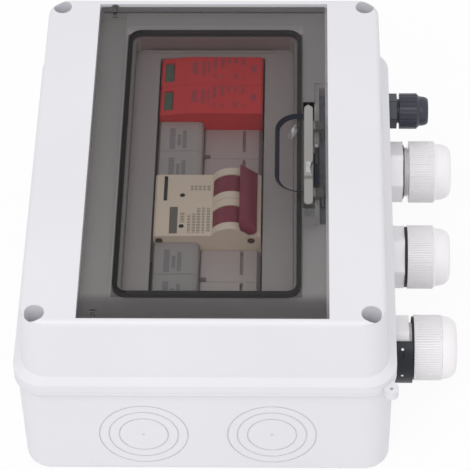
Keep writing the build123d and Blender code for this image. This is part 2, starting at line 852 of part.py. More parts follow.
def breaker_housing():
    nose = [
        (-nose_x - 0.6, shoulder_z), (-nose_x, breaker_nose_z - 0.8), (-nose_x + 0.8, breaker_nose_z),
        (nose_x - 0.8, breaker_nose_z), (nose_x, breaker_nose_z - 0.8), (nose_x + 0.6, shoulder_z),
    ]
    body = device_block(nose, breaker_slots[0], breaker_slots[-1])
    axis = (toggle_x, toggle_z)
    for index in breaker_slots:
        y = slot_y(index)
        half = drum_width / 2 + drum_gap
        outer = half + drum_rib
        arch = rod(drum_rib_r, (axis[0], y - outer, axis[1]), (axis[0], y + outer, axis[1]))
        body += arch & block(-nose_x, nose_x, y - outer, y + outer, breaker_nose_z - 2, breaker_nose_z + 20)
    for index in breaker_slots:
        y = slot_y(index)
        half = drum_width / 2 + drum_gap
        body -= rod(toggle_drum_r + drum_gap, (axis[0], y - half, axis[1]), (axis[0], y + half, axis[1]))
        window = rod(drum_rib_r + drum_gap, (axis[0], y - half, axis[1]), (axis[0], y + half, axis[1]))
        body -= window & block(-nose_x, nose_x, y - half, y + half, breaker_nose_z, breaker_nose_z + 20)
        spot_y = y + indicator_shift_y
        body -= rod(
            indicator_r, (indicator_x, spot_y, breaker_nose_z - indicator_depth),
            (indicator_x, spot_y, breaker_nose_z + 1),
        )
    shaft_end = slot_y(breaker_slots[-1]) + drum_width / 2 + drum_gap + 1.4
    shaft_start = slot_y(breaker_slots[0]) - drum_width / 2 - drum_gap - 1.4
    body -= rod(toggle_shaft_r + running_fit, (axis[0], shaft_start, axis[1]), (axis[0], shaft_end, axis[1]))
    # moulded slot in the front, rivets in the side, then terminals and clip
    y = slot_y(breaker_slots[-1]) + face_slot_shift_y
    body -= block(
        face_slot[0], face_slot[1], y - face_slot_length / 2, y + face_slot_length / 2,
        breaker_nose_z - face_slot_depth, breaker_nose_z + 1,
    )
    side_y = slot_y(breaker_slots[0]) - module_width / 2
    far_y = slot_y(breaker_slots[-1]) + module_width / 2
    spots = [(x, breaker_nose_z - rivet_drop) for x in nose_rivets_x]
    spots += [(x, shoulder_z - rivet_foot_drop) for x in foot_rivets_x]
    for x, z in spots:
        body -= rod(rivet_r, (x, side_y - 1, z), (x, side_y + rivet_depth, z))
        body -= rod(rivet_r, (x, far_y - rivet_depth, z), (x, far_y + 1, z))
    body = cut_terminals(body, breaker_slots)
    return body - clip_channel(breaker_slots)


def breaker_toggle():
    """Two drums on one shaft, joined by the tie bar that the hand moves."""
    lift = breaker_nose_z + toggle_bar_lift - toggle_z
    centre_y = (slot_y(breaker_slots[0]) + slot_y(breaker_slots[-1])) / 2
    y0 = centre_y - toggle_bar_length / 2
    y1 = centre_y + toggle_bar_length / 2
    # the bar fills a round sector between its two resting planes
    sector = rod(toggle_reach, (toggle_x, y0, toggle_z), (toggle_x, y1, toggle_z))
    sector &= block(toggle_x, toggle_x + 30, y0, y1, toggle_z + lift, toggle_z + 30)
    mirror_plane = Rot(0, 2 * toggle_half_swing, 0) * Pos(0, 0, 15 + lift) * Box(60, 60, 30)
    bar = sector & Pos(toggle_x, centre_y, toggle_z) * mirror_plane
    long_edges = bar.edges().filter_by(Axis.Y)
    bar = fillet(long_edges, 1.0)
    # round ends, and room for the arches of the housing
    rounded = Plane.YZ * RectangleRounded(toggle_bar_length, 2 * toggle_reach, toggle_bar_round)
    rounded = extrude(rounded, toggle_reach, both=True)
    bar &= Pos(toggle_x, centre_y, toggle_z) * Rot(0, toggle_half_swing, 0) * rounded
    bar -= rod(drum_rib_r + drum_gap, (toggle_x, y0 - 1, toggle_z), (toggle_x, y1 + 1, toggle_z))
    toggle = bar
    for index in breaker_slots:
        y = slot_y(index)
        half = drum_width / 2
        drum = rod(toggle_drum_r, (toggle_x, y - half, toggle_z), (toggle_x, y + half, toggle_z))
        stem = Pos(0, 0, toggle_drum_r + 0.5) * Box(stem_thickness, stem_width, 4.0)
        stem = Rot(0, toggle_half_swing, 0) * stem
        toggle += drum + Pos(toggle_x, y, toggle_z) * stem
    shaft_end = slot_y(breaker_slots[-1]) + drum_width / 2 + drum_gap + 1.2
    shaft_start = slot_y(breaker_slots[0]) - drum_width / 2 - drum_gap - 1.2
    toggle += rod(toggle_shaft_r, (toggle_x, shaft_start, toggle_z), (toggle_x, shaft_end, toggle_z))
    return toggle


def fuse_holder_body(index):
    nose = [
        (-nose_x - 0.6, shoulder_z), (-nose_x, fuse_plateau_z - 0.8), (-nose_x + 0.8, fuse_plateau_z),
        (fuse_plateau_x1 - 2.5, fuse_plateau_z), (fuse_plateau_x1 - 0.7, fuse_plateau_z - 0.7),
        (fuse_plateau_x1, fuse_plateau_z - 2.5), (fuse_plateau_x1, shoulder_z), (nose_x, shoulder_z),
    ]
    body = device_block(nose, index, index)
    y = slot_y(index)
    reach = fuse_length / 2 + 1.4
    half = carrier_tongue_y / 2 + carrier_gap
    body -= block(
        -reach - carrier_gap, reach + carrier_gap, y - half, y + half,
        tongue_z() - carrier_gap, shoulder_z + 0.01,
    )
    body = cut_terminals(body, [index])
    return body - clip_channel([index])


def tongue_z():
    return fuse_z - fuse_r - 1.6


def fuse_carrier(index):
    """Pull-out carrier: grip on top, trough for the fuse link under it."""
    y = slot_y(index)
    x0 = fuse_plateau_x1 + carrier_gap
    half = module_width / 2
    grip = [
        (x0, shoulder_z + carrier_gap), (x0, carrier_z - 0.6), (x0 + 0.6, carrier_z), (nose_x - 1.6, carrier_z),
        (nose_x, carrier_z - 1.6), (nose_x, shoulder_z + carrier_gap),
    ]
    carrier = profile_along_y(grip, y - half, y + half)
    reach = fuse_length / 2 + 1.4
    tongue = block(
        -reach, reach, y - carrier_tongue_y / 2, y + carrier_tongue_y / 2, tongue_z(), shoulder_z - carrier_gap
    )
    carrier += tongue
    carrier += block(
        x0 + 1, reach, y - carrier_tongue_y / 2, y + carrier_tongue_y / 2,
        shoulder_z - 1, shoulder_z + 1,
    )
    trough = rod(fuse_r + 0.1, (-fuse_length / 2 - 0.1, y, fuse_z), (fuse_length / 2 + 0.1, y, fuse_z))
    carrier -= trough
    carrier -= block(
        -fuse_length / 2 + 6, fuse_length / 2 - 6, y - fuse_r, y + fuse_r, tongue_z() - 1, fuse_z
    )
    slot_y0 = y + 1.7 - grip_slot_length / 2
    carrier -= block(
        grip_slot_x - grip_slot_width / 2, grip_slot_x + grip_slot_width / 2, slot_y0,
        slot_y0 + grip_slot_length, carrier_z - 2.4, carrier_z + 1,
    )
    carrier -= block(x0 - 1, x0 + 2.8, y - half - 1, y - half + 2.4, carrier_z - 4, carrier_z + 1)
    return carrier


def fuse_links():
    links = []
    for index in fuse_slots:
        y = slot_y(index)
        end = fuse_length / 2
        link = rod(fuse_r - 0.35, (-end + 1, y, fuse_z), (end - 1, y, fuse_z))
        for side in (-1, 1):
            link += rod(fuse_r, (side * end, y, fuse_z), (side * (end - 10), y, fuse_z))
        links.append(link)
    return group(links)


def spd_base():
    """Socket of the arrester: a foot and two terminal towers, open in the middle."""
    inner = nose_x + spd_tower_gap
    nose = [
        (-inner - 1.2, shoulder_z), (-inner, shoulder_z - 1.2), (-inner, spd_floor_z), (inner, spd_floor_z),
        (inner, shoulder_z - 1.2), (inner + 1.2, shoulder_z),
    ]
    body = device_block(nose, spd_slots[0], spd_slots[-1])
    for index in spd_slots:
        y = slot_y(index)
        for x in (-12.0, 12.0):
            body -= Pos(x, y, spd_floor_z) * Box(
                blade_size[0] + 0.3, blade_size[1] + 0.3, 2 * blade_size[2] + 0.6
            )
    body = cut_terminals(body, spd_slots)
    return body - clip_channel(spd_slots)


def spd_cartridge(index):
    y = slot_y(index)
    half = module_width / 2
    z0 = spd_floor_z + 0.1
    outline = [
        (-nose_x + 0.2, z0), (-nose_x, spd_left_z - 0.8), (-nose_x + 0.8, spd_left_z),
        (-10.0, spd_nose_z), (nose_x - 0.8, spd_nose_z - 0.2), (nose_x, spd_nose_z - 1.0), (nose_x - 0.2, z0),
    ]
    body = profile_along_y(outline, y - half, y + half)
    w, l = spd_window_size
    body -= Pos(spd_window_x, y, spd_left_z) * Box(w, l, 1.2)
    for x in (-12.0, 12.0):
        body += Pos(x, y, z0 - blade_size[2] / 2 + 0.5) * Box(blade_size[0], blade_size[1], blade_size[2] + 1.0)
    return body


# --------------------------------------------------------------- cable glands
class Gland:
    """Sizes of one cable gland; lengths run outwards from its seat on the wall."""

    def __init__(self, y, z, thread_r, shank, collar_r, collar_end, nut_r, nut_start, nut_end, step_r, tip,
                 bore_r, cable_r, ribs, stepped=True):
        self.y, self.z = y, z
        self.thread_r = thread_r
        self.shank = shank
        self.ribs = ribs
        self.collar_r = collar_r
        self.collar_end = collar_end
        self.nut_r = nut_r
        self.nut_start = nut_start
        self.nut_end = nut_end
        self.step_r = step_r
        self.tip = tip
        self.bore_r = bore_r
        self.cable_r = cable_r
        self.stepped = stepped

    def place(self, shape):
        """From the gland's own axis (+Z outwards) to its seat on the box."""
        return Pos(gland_pad_x, self.y, self.z) * Rot(0, 90, 0) * shape


washer_thickness = 1.5
collar_turn = 13.5
locknut_thickness = 4.2
locknut_rise = 2.9          # hexagon corners beyond the thread
neck_inset = 0.7
flute_width = 0.4
flute_depth = 0.22

# The three white glands, from the surge arrester's side to the front
white_thread_r = 11.1
white_shank = 12.0
white_collar_r = 13.9
white_nut_r = 13.9
white_step_r = 12.6
white_plain_r = 13.4        # dome of the one that has no step
white_bore_r = 8.0
white_cable_r = 5.0
white_ribs = 80
white_collar_ends = (8.4, 7.8, 8.3)
white_nut_starts = (11.1, 9.0, 10.4)
white_nut_ends = (22.3, 20.2, 22.2)
white_tips = (29.9, 27.6, 28.6)

black_thread_r = 6.2
black_shank = 9.0
black_collar_r = 8.1
black_collar_end = 5.9
black_nut_r = 8.1
black_nut_start = 7.0
black_nut_end = 14.9
black_step_r = 6.7
black_tip = 20.1
black_bore_r = 4.4
black_cable_r = 2.6
black_ribs = 24


def white_gland(place):
    """Gland number 1, 2 or 3; the last has a plain dome."""
    row = place - 1
    stepped = place < 3
    return Gland(
        gland_rows[2 - row], gland_z, white_thread_r, white_shank, white_collar_r,
        white_collar_ends[row], white_nut_r, white_nut_starts[row], white_nut_ends[row],
        white_step_r if stepped else white_plain_r, white_tips[row], white_bore_r,
        white_cable_r, white_ribs, stepped,
    )


glands = {f"white_gland_{place}": white_gland(place) for place in (1, 2, 3)}
glands["black_gland"] = Gland(
    small_gland_y, small_gland_z, black_thread_r, black_shank, black_collar_r, black_collar_end,
    black_nut_r, black_nut_start, black_nut_end, black_step_r, black_tip, black_bore_r,
    black_cable_r, black_ribs,
)


def upright(radius, z0, z1):
    return rod(radius, (0, 0, z0), (0, 0, z1))


def gland_washer(g):
    outer = g.collar_r * cos(radians(30)) - 0.2
    return g.place(upright(outer, 0, washer_thickness) - upright(g.thread_r + 0.1, -1, washer_thickness + 1))


def gland_body(g):
    collar = Pos(0, 0, washer_thickness) * RegularPolygon(g.collar_r, 6, rotation=collar_turn)
    body = extrude(collar, g.collar_end - washer_thickness)
    body &= upright(g.collar_r * 0.985, 0, g.collar_end)
    neck_r = g.thread_r - neck_inset
    body += upright(g.thread_r, -g.shank, washer_thickness)
    body += upright(neck_r, washer_thickness, neck_top(g))
    body -= upright(g.bore_r, -g.shank - 1, neck_top(g) + 1)
    return g.place(body)


def neck_top(g):
    return g.nut_end - 1.5


def gland_locknut(g):
    seat = gland_pad_inner_x - gland_pad_x
    nut = Pos(0, 0, seat - locknut_thickness) * RegularPolygon(g.thread_r + locknut_rise, 6)
    nut = extrude(nut, locknut_thickness)
    return g.place(nut - upright(g.thread_r + 0.05, seat - locknut_thickness - 1, seat + 1))


def gland_insert(g):
    """Rubber sleeve that the dome nut squeezes on the cable."""
    sleeve = upright(g.bore_r - 0.1, washer_thickness, g.tip - 3.2)
    return g.place(sleeve - upright(g.cable_r, 0, g.tip))


def gland_nut(g):
    neck_r = g.thread_r - neck_inset
    grip_end = g.nut_end
    grip = Pos(0, 0, g.nut_start) * nut_outline(g)
    nut = extrude(grip, grip_end - g.nut_start)
    # dome: straight foot, then a quarter ellipse to the flat end
    foot = grip_end + (1.3 if g.stepped else 0.0)
    end_r = g.bore_r + 0.6
    rise = g.tip - foot
    shoulder = g.step_r
    with BuildPart() as dome:
        with BuildSketch(Plane.XZ):
            with BuildLine():
                if g.stepped:
                    Polyline((0, grip_end), (g.nut_r - 0.25, grip_end), (shoulder, foot))
                else:
                    Line((0, grip_end), (shoulder, foot))
                Bezier(
                    (shoulder, foot), (shoulder, foot + 0.72 * rise),
                    (end_r + 0.45 * (shoulder - end_r), g.tip), (end_r, g.tip),
                )
                Polyline((end_r, g.tip), (0, g.tip), (0, grip_end))
            make_face()
        revolve(axis=Axis.Z)
    nut += dome.part
    inner = upright(neck_r + running_fit, g.nut_start - 1, neck_top(g) + 0.4)
    throat = upright(g.bore_r + 0.3, g.nut_start, g.tip - 2.4)
    exit_hole = upright(g.bore_r - 1.4, g.nut_start, g.tip + 1)
    return g.place(nut - inner - throat - exit_hole)


def nut_outline(g):
    """Round grip with fine flutes."""
    outline = Circle(g.nut_r)
    flute = Rectangle(2 * flute_depth, flute_width)
    for spot in PolarLocations(g.nut_r, g.ribs):
        outline -= spot * flute
    return outline


# Snap band round the collar of the third gland
band_clearance = 0.1
band_thickness = 1.1
band_x0 = 78.3
band_x1 = 86.5
band_open_from = 59.0       # degrees above the front, where the band ends
band_sweep = 235.0
band_hole_r = 0.65


def gland_band():
    g = glands["white_gland_3"]
    inner = g.collar_r + band_clearance
    outer = inner + band_thickness
    length = band_x1 - band_x0
    ring = rod(outer, (band_x0, g.y, g.z), (band_x1, g.y, g.z))
    ring -= rod(inner, (band_x0 - 1, g.y, g.z), (band_x1 + 1, g.y, g.z))
    # the opening faces up and back
    middle = band_open_from + (360 - band_sweep) / 2
    half = (360 - band_sweep) / 2
    reach = 3 * outer
    wedge = [(0, 0)]
    for step in (-1, -0.33, 0.33, 1):
        angle = radians(middle + step * half)
        wedge.append((-reach * cos(angle), reach * sin(angle)))
    plane = Plane(origin=(band_x0 - 1, g.y, g.z), x_dir=(0, 1, 0), z_dir=(1, 0, 0))
    ring -= extrude(plane * make_face(Polyline(*wedge, close=True).edges()), length + 2)
    # two holes and a short slot seen from the front
    mid_x = band_x0 + 0.45 * length
    for angle in (45.7, -3.3):
        direction = (0, -cos(radians(angle)), sin(radians(angle)))
        tip = [mid_x, g.y + direction[1] * (outer + 2), g.z + direction[2] * (outer + 2)]
        plane = Plane(origin=tip, z_dir=(0, -direction[1], -direction[2]))
        ring -= extrude(plane * Circle(band_hole_r), 6)
    angle = 36.0
    direction = (0, -cos(radians(angle)), sin(radians(angle)))
    tip = (mid_x + 0.3, g.y + direction[1] * (outer + 2), g.z + direction[2] * (outer + 2))
    plane = Plane(origin=tip, x_dir=(1, 0, 0), z_dir=(0, -direction[1], -direction[2]))
    ring -= extrude(plane * Rectangle(0.7, 2.6), 2.5)
    return ring


# --------------------------------------------------------------------- output
def main():
    os.makedirs("parts", exist_ok=True)
    write("base_box", base_box())
    write("lid_cover", lid_cover())
    write("lid_seal", lid_seal())
    write("lid_screws", lid_screws())
    write("inner_panel", inner_panel())
    write("din_rail", din_rail())
    write("rail_screws", rail_screws())
    write("door_window", door_window())
    write("door_gasket", door_gasket())
    write("hinge_pins", hinge_pins())
    write("latch_lever", latch_lever())
    write("latch_pin", latch_pin())
    write("latch_spring", latch_spring())
    write("breaker_housing", breaker_housing())
    write("breaker_toggle", breaker_toggle())
    write("breaker_clip", rail_clip(breaker_slots))
    for number, index in enumerate(fuse_slots, start=1):
        write(f"fuse_holder_{number}", fuse_holder_body(index))
        write(f"fuse_carrier_{number}", fuse_carrier(index))
        write(f"fuse_clip_{number}", rail_clip([index]))
    write("fuse_links", fuse_links())
    write("spd_base", spd_base())
    write("spd_clip", rail_clip(spd_slots))
    for number, index in enumerate(spd_slots, start=1):
        write(f"spd_cartridge_{number}", spd_cartridge(index))
    write("terminal_screws", terminal_screws())
    for name, g in glands.items():
        write(f"{name}_body", gland_body(g))
        write(f"{name}_insert", gland_insert(g))
        write(f"{name}_nut", gland_nut(g))
    write("gland_washers", group(gland_washer(g) for g in glands.values()))
    write("gland_locknuts", group(gland_locknut(g) for g in glands.values()))
    write("gland_band", gland_band())


main()
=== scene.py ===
# %% [markdown]
# # A wall box for solar wiring, with a smoked door
#
# This lesson dresses a junction box: a pale plastic case that hangs on a wall and joins the
# cables of a solar roof. Behind a smoked door sit a breaker, four fuse holders and a surge
# protector. Four cable glands stick out of its right side. The solid parts come from a CAD
# model, and Blender gives them their finishes, their small trims, the light and the camera.
#
# It loads the solids in metres, each already in its place.

# %% Load the solids
import math

import bmesh
import bpy
from mathutils import Matrix, Vector


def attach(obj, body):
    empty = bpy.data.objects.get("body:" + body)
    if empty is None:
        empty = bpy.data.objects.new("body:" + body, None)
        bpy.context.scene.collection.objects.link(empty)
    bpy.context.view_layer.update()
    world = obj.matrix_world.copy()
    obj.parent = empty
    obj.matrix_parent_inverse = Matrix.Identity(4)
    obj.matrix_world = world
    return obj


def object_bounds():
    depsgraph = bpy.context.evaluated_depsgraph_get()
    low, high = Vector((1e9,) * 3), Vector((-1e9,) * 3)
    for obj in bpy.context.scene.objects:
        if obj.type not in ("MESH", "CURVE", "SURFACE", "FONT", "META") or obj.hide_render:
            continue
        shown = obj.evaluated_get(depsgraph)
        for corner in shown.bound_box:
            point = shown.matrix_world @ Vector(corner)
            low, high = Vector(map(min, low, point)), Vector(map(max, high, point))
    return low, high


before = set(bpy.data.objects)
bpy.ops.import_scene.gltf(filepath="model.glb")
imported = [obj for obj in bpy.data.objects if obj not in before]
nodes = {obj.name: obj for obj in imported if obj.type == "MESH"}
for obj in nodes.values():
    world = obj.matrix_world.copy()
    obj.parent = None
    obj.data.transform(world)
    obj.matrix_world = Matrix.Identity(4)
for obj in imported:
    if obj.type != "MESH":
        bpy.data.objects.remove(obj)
cad_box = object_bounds()
MM = 0.001
low_corner, high_corner = ([round(v, 4) for v in corner] for corner in cad_box)
print(len(nodes), "solids, from", low_corner, "to", high_corner)

# %% [markdown]
# The camera stands in front of the box and looks down on it at 46.5 degrees. A long lens,
# 203 mm on a 36 mm sensor, keeps the edges almost parallel. We work out its three axes from
# its pitch, its small turn to the left and its small roll, and build the matrix from them.

# %% Camera
CAMERA_PLACE = Vector((0.0385, -0.7929, 0.8782))
CAMERA_PITCH = math.radians(46.548)
CAMERA_YAW = math.radians(-2.027)
CAMERA_ROLL = math.radians(-1.319)
CAMERA_LENS = 202.7

forward = Vector((
    math.sin(CAMERA_YAW) * math.cos(CAMERA_PITCH),
    math.cos(CAMERA_YAW) * math.cos(CAMERA_PITCH),
    -math.sin(CAMERA_PITCH),
))
level_right = Vector((math.cos(CAMERA_YAW), -math.sin(CAMERA_YAW), 0))
level_up = level_right.cross(forward)
camera_right = level_right * math.cos(CAMERA_ROLL) + level_up * math.sin(CAMERA_ROLL)
camera_up = level_up * math.cos(CAMERA_ROLL) - level_right * math.sin(CAMERA_ROLL)

camera_data = bpy.data.cameras.new("studio_camera")
camera_data.lens = CAMERA_LENS
camera_data.sensor_width = 36
camera_data.clip_start = 0.05
camera = bpy.data.objects.new("studio_camera", camera_data)
bpy.context.scene.collection.objects.link(camera)
turn = Matrix((camera_right, camera_up, -forward)).transposed()
camera.matrix_world = Matrix.Translation(CAMERA_PLACE) @ turn.to_4x4()
bpy.context.scene.camera = camera
print("camera looks along", [round(v, 3) for v in forward])

# %% [markdown]
# A finish is a material, and a material is a small sum: this colour times that mask, plus a
# little noise. Blender writes such a sum as boxes and cables, which are hard to read in code.
# So we wrap one cable in a class and teach it plus, minus, times and so on. Each sign adds
# its own Math node. Any other node comes from one method, `node`, of the class below it.

# %% A cable that can be added and multiplied
class Cable:
    """One output of a node. Arithmetic on it adds Math nodes."""

    def __init__(self, graph, socket):
        self.graph = graph
        self.socket = socket

    def math(self, operation, first, second=0.0):
        return self.graph.node("ShaderNodeMath", {"operation": operation}, {0: first, 1: second})

    def __add__(self, other):
        return self.math("ADD", self, other)

    def __radd__(self, other):
        return self.math("ADD", other, self)

    def __sub__(self, other):
        return self.math("SUBTRACT", self, other)

    def __rsub__(self, other):
        return self.math("SUBTRACT", other, self)

    def __mul__(self, other):
        return self.math("MULTIPLY", self, other)

    def __rmul__(self, other):
        return self.math("MULTIPLY", other, self)

    def __truediv__(self, other):
        return self.math("DIVIDE", self, other)

    def __gt__(self, other):
        return self.math("GREATER_THAN", self, other)

    def __lt__(self, other):
        return self.math("LESS_THAN", self, other)

    def wrap(self, pitch):
        """The same value, started again after every pitch."""
        return self.graph.node(
            "ShaderNodeMath", {"operation": "WRAP"}, {0: self, 1: pitch, 2: 0.0}
        )

    def size(self):
        """The value without its sign."""
        return self.math("ABSOLUTE", self)

    def at_least(self, other):
        return self.math("MAXIMUM", self, other)

    def at_most(self, other):
        return self.math("MINIMUM", self, other)

    def root(self):
        return self.math("SQRT", self)


# %% A graph of nodes, and the one method that makes them
class Graph:
    """The nodes of a material or of the sky."""

    def __init__(self, tree):
        self.tree = tree

    def node(self, kind, settings=None, sockets=None, out=0):
        made = self.tree.nodes.new(kind)
        for name, value in (settings or {}).items():
            setattr(made, name, value)
        for key, value in (sockets or {}).items():
            self.feed(made.inputs[key], value)
        return Cable(self, made.outputs[out])

    def feed(self, socket, value):
        if isinstance(value, Cable):
            self.tree.links.new(value.socket, socket)
        elif socket.type == "RGBA":
            socket.default_value = (*value[:3], 1)
        else:
            socket.default_value = value

    def any_ray(self, *kinds):
        """1 for rays of any of these kinds, such as "Is Camera Ray"."""
        path = self.node("ShaderNodeLightPath").socket.node
        found = Cable(self, path.outputs[kinds[0]])
        for kind in kinds[1:]:
            found = found.at_least(Cable(self, path.outputs[kind]))
        return found


# %% [markdown]
# A finish is a graph that belongs to one material. It knows where each point of the surface
# lies, and it can make the patterns that our finishes share: noise, ramps, rectangles and
# small print. It also sets the main shader, or lays a second one over it.

# %% A finish
class Finish(Graph):
    """One material. Its patterns are placed by Object coordinates, which are metres here."""

    def __init__(self, name):
        self.material = bpy.data.materials.new(name)
        self.material.use_nodes = True
        super().__init__(self.material.node_tree)
        self.shader = self.tree.nodes["Principled BSDF"]
        self.place = self.node("ShaderNodeTexCoord", out="Object")
        split = self.node("ShaderNodeSeparateXYZ", sockets={0: self.place}).socket.node
        self.x, self.y, self.z = (Cable(self, socket) for socket in split.outputs)

    def noise(self, scale, detail=2.0, stretch=(1, 1, 1)):
        """Soft random blotches, 1 / scale metres across, longer where stretch is small."""
        place = self.place
        if tuple(stretch) != (1, 1, 1):
            place = self.node("ShaderNodeMapping", sockets={"Vector": place, "Scale": stretch})
        sockets = {"Vector": place, "Scale": scale, "Detail": detail}
        return self.node("ShaderNodeTexNoise", sockets=sockets)

    def ramp(self, value, low, high):
        """0 below low, 1 above high, and a straight line between."""
        return self.node(
            "ShaderNodeMapRange", {"clamp": True},
            {"Value": value, "From Min": low, "From Max": high, "To Min": 0.0, "To Max": 1.0},
        )

    def inside(self, axis, low, high):
        """1 where the axis lies between low and high millimetres."""
        return (axis > low * MM) * (axis < high * MM)

    def patch(self, x, y):
        """1 inside a rectangle seen from the front, in millimetres."""
        return self.inside(self.x, *x) * self.inside(self.y, *y)

    def patches(self, *rectangles):
        """1 inside any of several rectangles, each given as x0, x1, y0, y1 in millimetres."""
        total = 0.0
        for x0, x1, y0, y1 in rectangles:
            total = total + self.patch((x0, x1), (y0, y1))
        return total.at_most(1.0)

    def print_bars(self, along, bars, pitch, dash):
        """Bars x0, x1, y0, y1 of small dashes; along is the y that the bars are measured on."""
        total = 0.0
        for x0, x1, y0, y1 in bars:
            total = total + self.inside(self.x, x0, x1) * self.inside(along, y0, y1)
        return total.at_most(1.0) * self.inside(along.wrap(pitch * MM), 0, dash)

    def cover(self, mask, colour, roughness=0.5, specular=0.1):
        """Lays a solid coat over the shader where the mask is 1."""
        coat = self.node("ShaderNodeBsdfPrincipled", sockets={
            "Base Color": colour, "Roughness": roughness, "Specular IOR Level": specular,
        })
        output = self.tree.nodes["Material Output"].inputs["Surface"]
        under = Cable(self, output.links[0].from_socket)
        self.feed(output, self.node("ShaderNodeMixShader", sockets={0: mask, 1: under, 2: coat}))

    def blend(self, factor, first, second):
        """A colour between two others."""
        return self.node(
            "ShaderNodeMix", {"data_type": "RGBA"}, {0: factor, 6: first, 7: second}, out=2
        )

    def bump(self, height, distance, strength=1.0, round_edges=0.0):
        sockets = {"Height": height, "Distance": distance, "Strength": strength}
        if round_edges:
            sockets["Normal"] = self.node(
                "ShaderNodeBevel", {"samples": 4}, {"Radius": round_edges}
            )
        return self.node("ShaderNodeBump", sockets=sockets)

    def set(self, **sockets):
        """Feeds the shader: base_color=..., roughness=... and so on."""
        for name, value in sockets.items():
            title = name.replace("_", " ").title().replace("Ior", "IOR")
            self.feed(self.shader.inputs[title], value)


def dress(finish, *names):
    """Gives a finish to solids by name."""
    for name in names:
        nodes[name].data.materials.clear()
        nodes[name].data.materials.append(finish.material)
    print(finish.material.name, "on", ", ".join(names))


# %% [markdown]
# ## Moulded plastic
#
# Most of the box is injection-moulded plastic. It isn't one flat colour: the melt leaves wide,
# faint clouds, and the spark-eroded mould leaves a fine grain that breaks up the shine. Real
# edges are never sharp either, so a Bevel node rounds the shading of every edge by a third of
# a millimetre. We write this once and give it a colour, a grain and a gloss each time.

# %% A recipe for moulded plastic
CLOUD_SCALE = 14
GRAIN_SCALE = 1900
SCUFF_SCALE = 90
SCUFF_DEPTH = 0.16
FADE_FROM_Y, FADE_TO_Y = -75, 75


def moulded(name, colour, cloud=0.96, gloss=0.42, grain=0.05, edge=0.35, far=None):
    """Moulded plastic: faint clouds, fine grain, light scuffs and rounded edges.

    far is the colour that it fades to toward the far end of the window."""
    finish = Finish(name)
    cloud_colour = [part * cloud for part in colour]
    clouds = finish.ramp(finish.noise(CLOUD_SCALE, 3), 0.35, 0.65)
    scuffs = finish.noise(SCUFF_SCALE, 5, (1, 0.25, 1))
    finish.colour = finish.blend(clouds, colour, cloud_colour)
    if far:
        # painted light and shade: the colour fades to a second one toward the far end of the
        # window
        fade = finish.ramp(finish.y, FADE_FROM_Y * MM, FADE_TO_Y * MM)
        finish.colour = finish.blend(fade, finish.colour, far)
    finish.set(
        base_color=finish.colour,
        roughness=gloss + (scuffs - 0.5) * SCUFF_DEPTH,
        normal=finish.bump(finish.noise(GRAIN_SCALE, 2), grain * MM, 0.5, edge * MM),
    )
    return finish


# %% [markdown]
# The case is a base and a lid, both white. Under the smoked door we paint light and shade
# into its colour: the well that leads down to the devices is painted grey, its far wall
# darker, the ledge round the well a little warmer, and two gaps under the latch's openings
# black, as painted shadow. The lamps could make these tones, but our few soft ones don't light
# a closed box as a room does. So we paint them by place, with rectangles in X and Y and one
# range of heights.

# %% The case: cool white, fine grain
CASE_WHITE = (0.772, 0.763, 0.802)
UNDER_DOOR_Z = (30, 88.5)
LEDGE_X, LEDGE_Y = (-50.6, 50.6), (-94.5, 93.5)
LEDGE_PAINTED_TONE = (0.79, 0.755, 0.755)
WELL_X, WELL_Y = (-37.8, 39.8), (-78.0, 79.4)
WELL_SHADE_GREY = (0.38, 0.34, 0.34)
FAR_WALL_Y = 76.0
FAR_WALL_SHADE_GREY = (0.34, 0.24, 0.24)
LATCH_GAP_SHADOWS = ((44.4, 47.0, -20.0, 9.5), (39.8, 44.9, 29.2, 36.0))
GAP_SHADOW_BLACK = (0.05, 0.05, 0.055)

case_plastic = moulded("case_plastic", CASE_WHITE, cloud=0.975, gloss=0.44)
# painted shade under the door: the well grey, its far wall darker, the ledge warmer
under_door = case_plastic.inside(case_plastic.z, *UNDER_DOOR_Z)
ledge = case_plastic.patch(LEDGE_X, LEDGE_Y) * under_door
well = case_plastic.patch(WELL_X, WELL_Y) * under_door
far_wall = case_plastic.y > FAR_WALL_Y * MM
well_shade = case_plastic.blend(far_wall, WELL_SHADE_GREY, FAR_WALL_SHADE_GREY)
painted_ledge_colour = case_plastic.blend(ledge, case_plastic.colour, LEDGE_PAINTED_TONE)
# painted shadow: the two gaps under the latch's openings are black
gap_shadows = case_plastic.patches(*LATCH_GAP_SHADOWS) * ledge
painted_ledge_colour = case_plastic.blend(gap_shadows, painted_ledge_colour, GAP_SHADOW_BLACK)
case_plastic.set(base_color=case_plastic.blend(well, painted_ledge_colour, well_shade))
dress(case_plastic, "base_box", "lid_cover")

# %% [markdown]
# The cover plate behind the door and the fuse holders are a duller grey. The fuse holders
# carry printed ratings, which we turn into plain bars of dashes, repeated at the pitch of the
# modules. `wrap` starts the sum again at each module. Toward the far end of the window we paint
# light and shade into these tones and the fuse carriers': each colour fades to a second,
# redder one there.

# %% Cover plate and fuse holders
MODULE_PITCH = 18.0
MODULE_START = -73.9
FUSE_TOP = 76.0
FUSE_BARS = ((-17.7, -15.2, 1.2, 13.8), (-14.3, -12.8, 3.2, 10.4), (-12.1, -10.3, 1.6, 12.4))
FUSE_INK = (0.1, 0.1, 0.13)
FUSE_INK_COVER = 0.6

panel_plastic = moulded("panel_plastic", (0.45, 0.43, 0.42), 0.95, 0.5, far=(0.45, 0.375, 0.372))
dress(panel_plastic, "inner_panel")

fuse_plastic = moulded("fuse_plastic", (0.4, 0.39, 0.385), 0.94, 0.4, far=(0.55, 0.47, 0.46))
along = (fuse_plastic.y - MODULE_START * MM).wrap(MODULE_PITCH * MM)
fuse_print = fuse_plastic.print_bars(along, FUSE_BARS, pitch=1.3, dash=0.95)
fuse_print = fuse_print * (fuse_plastic.z > FUSE_TOP * MM) * FUSE_INK_COVER
fuse_plastic.set(base_color=fuse_plastic.blend(fuse_print, fuse_plastic.colour, FUSE_INK))
dress(fuse_plastic, "fuse_holder_1", "fuse_holder_2", "fuse_holder_3", "fuse_holder_4")

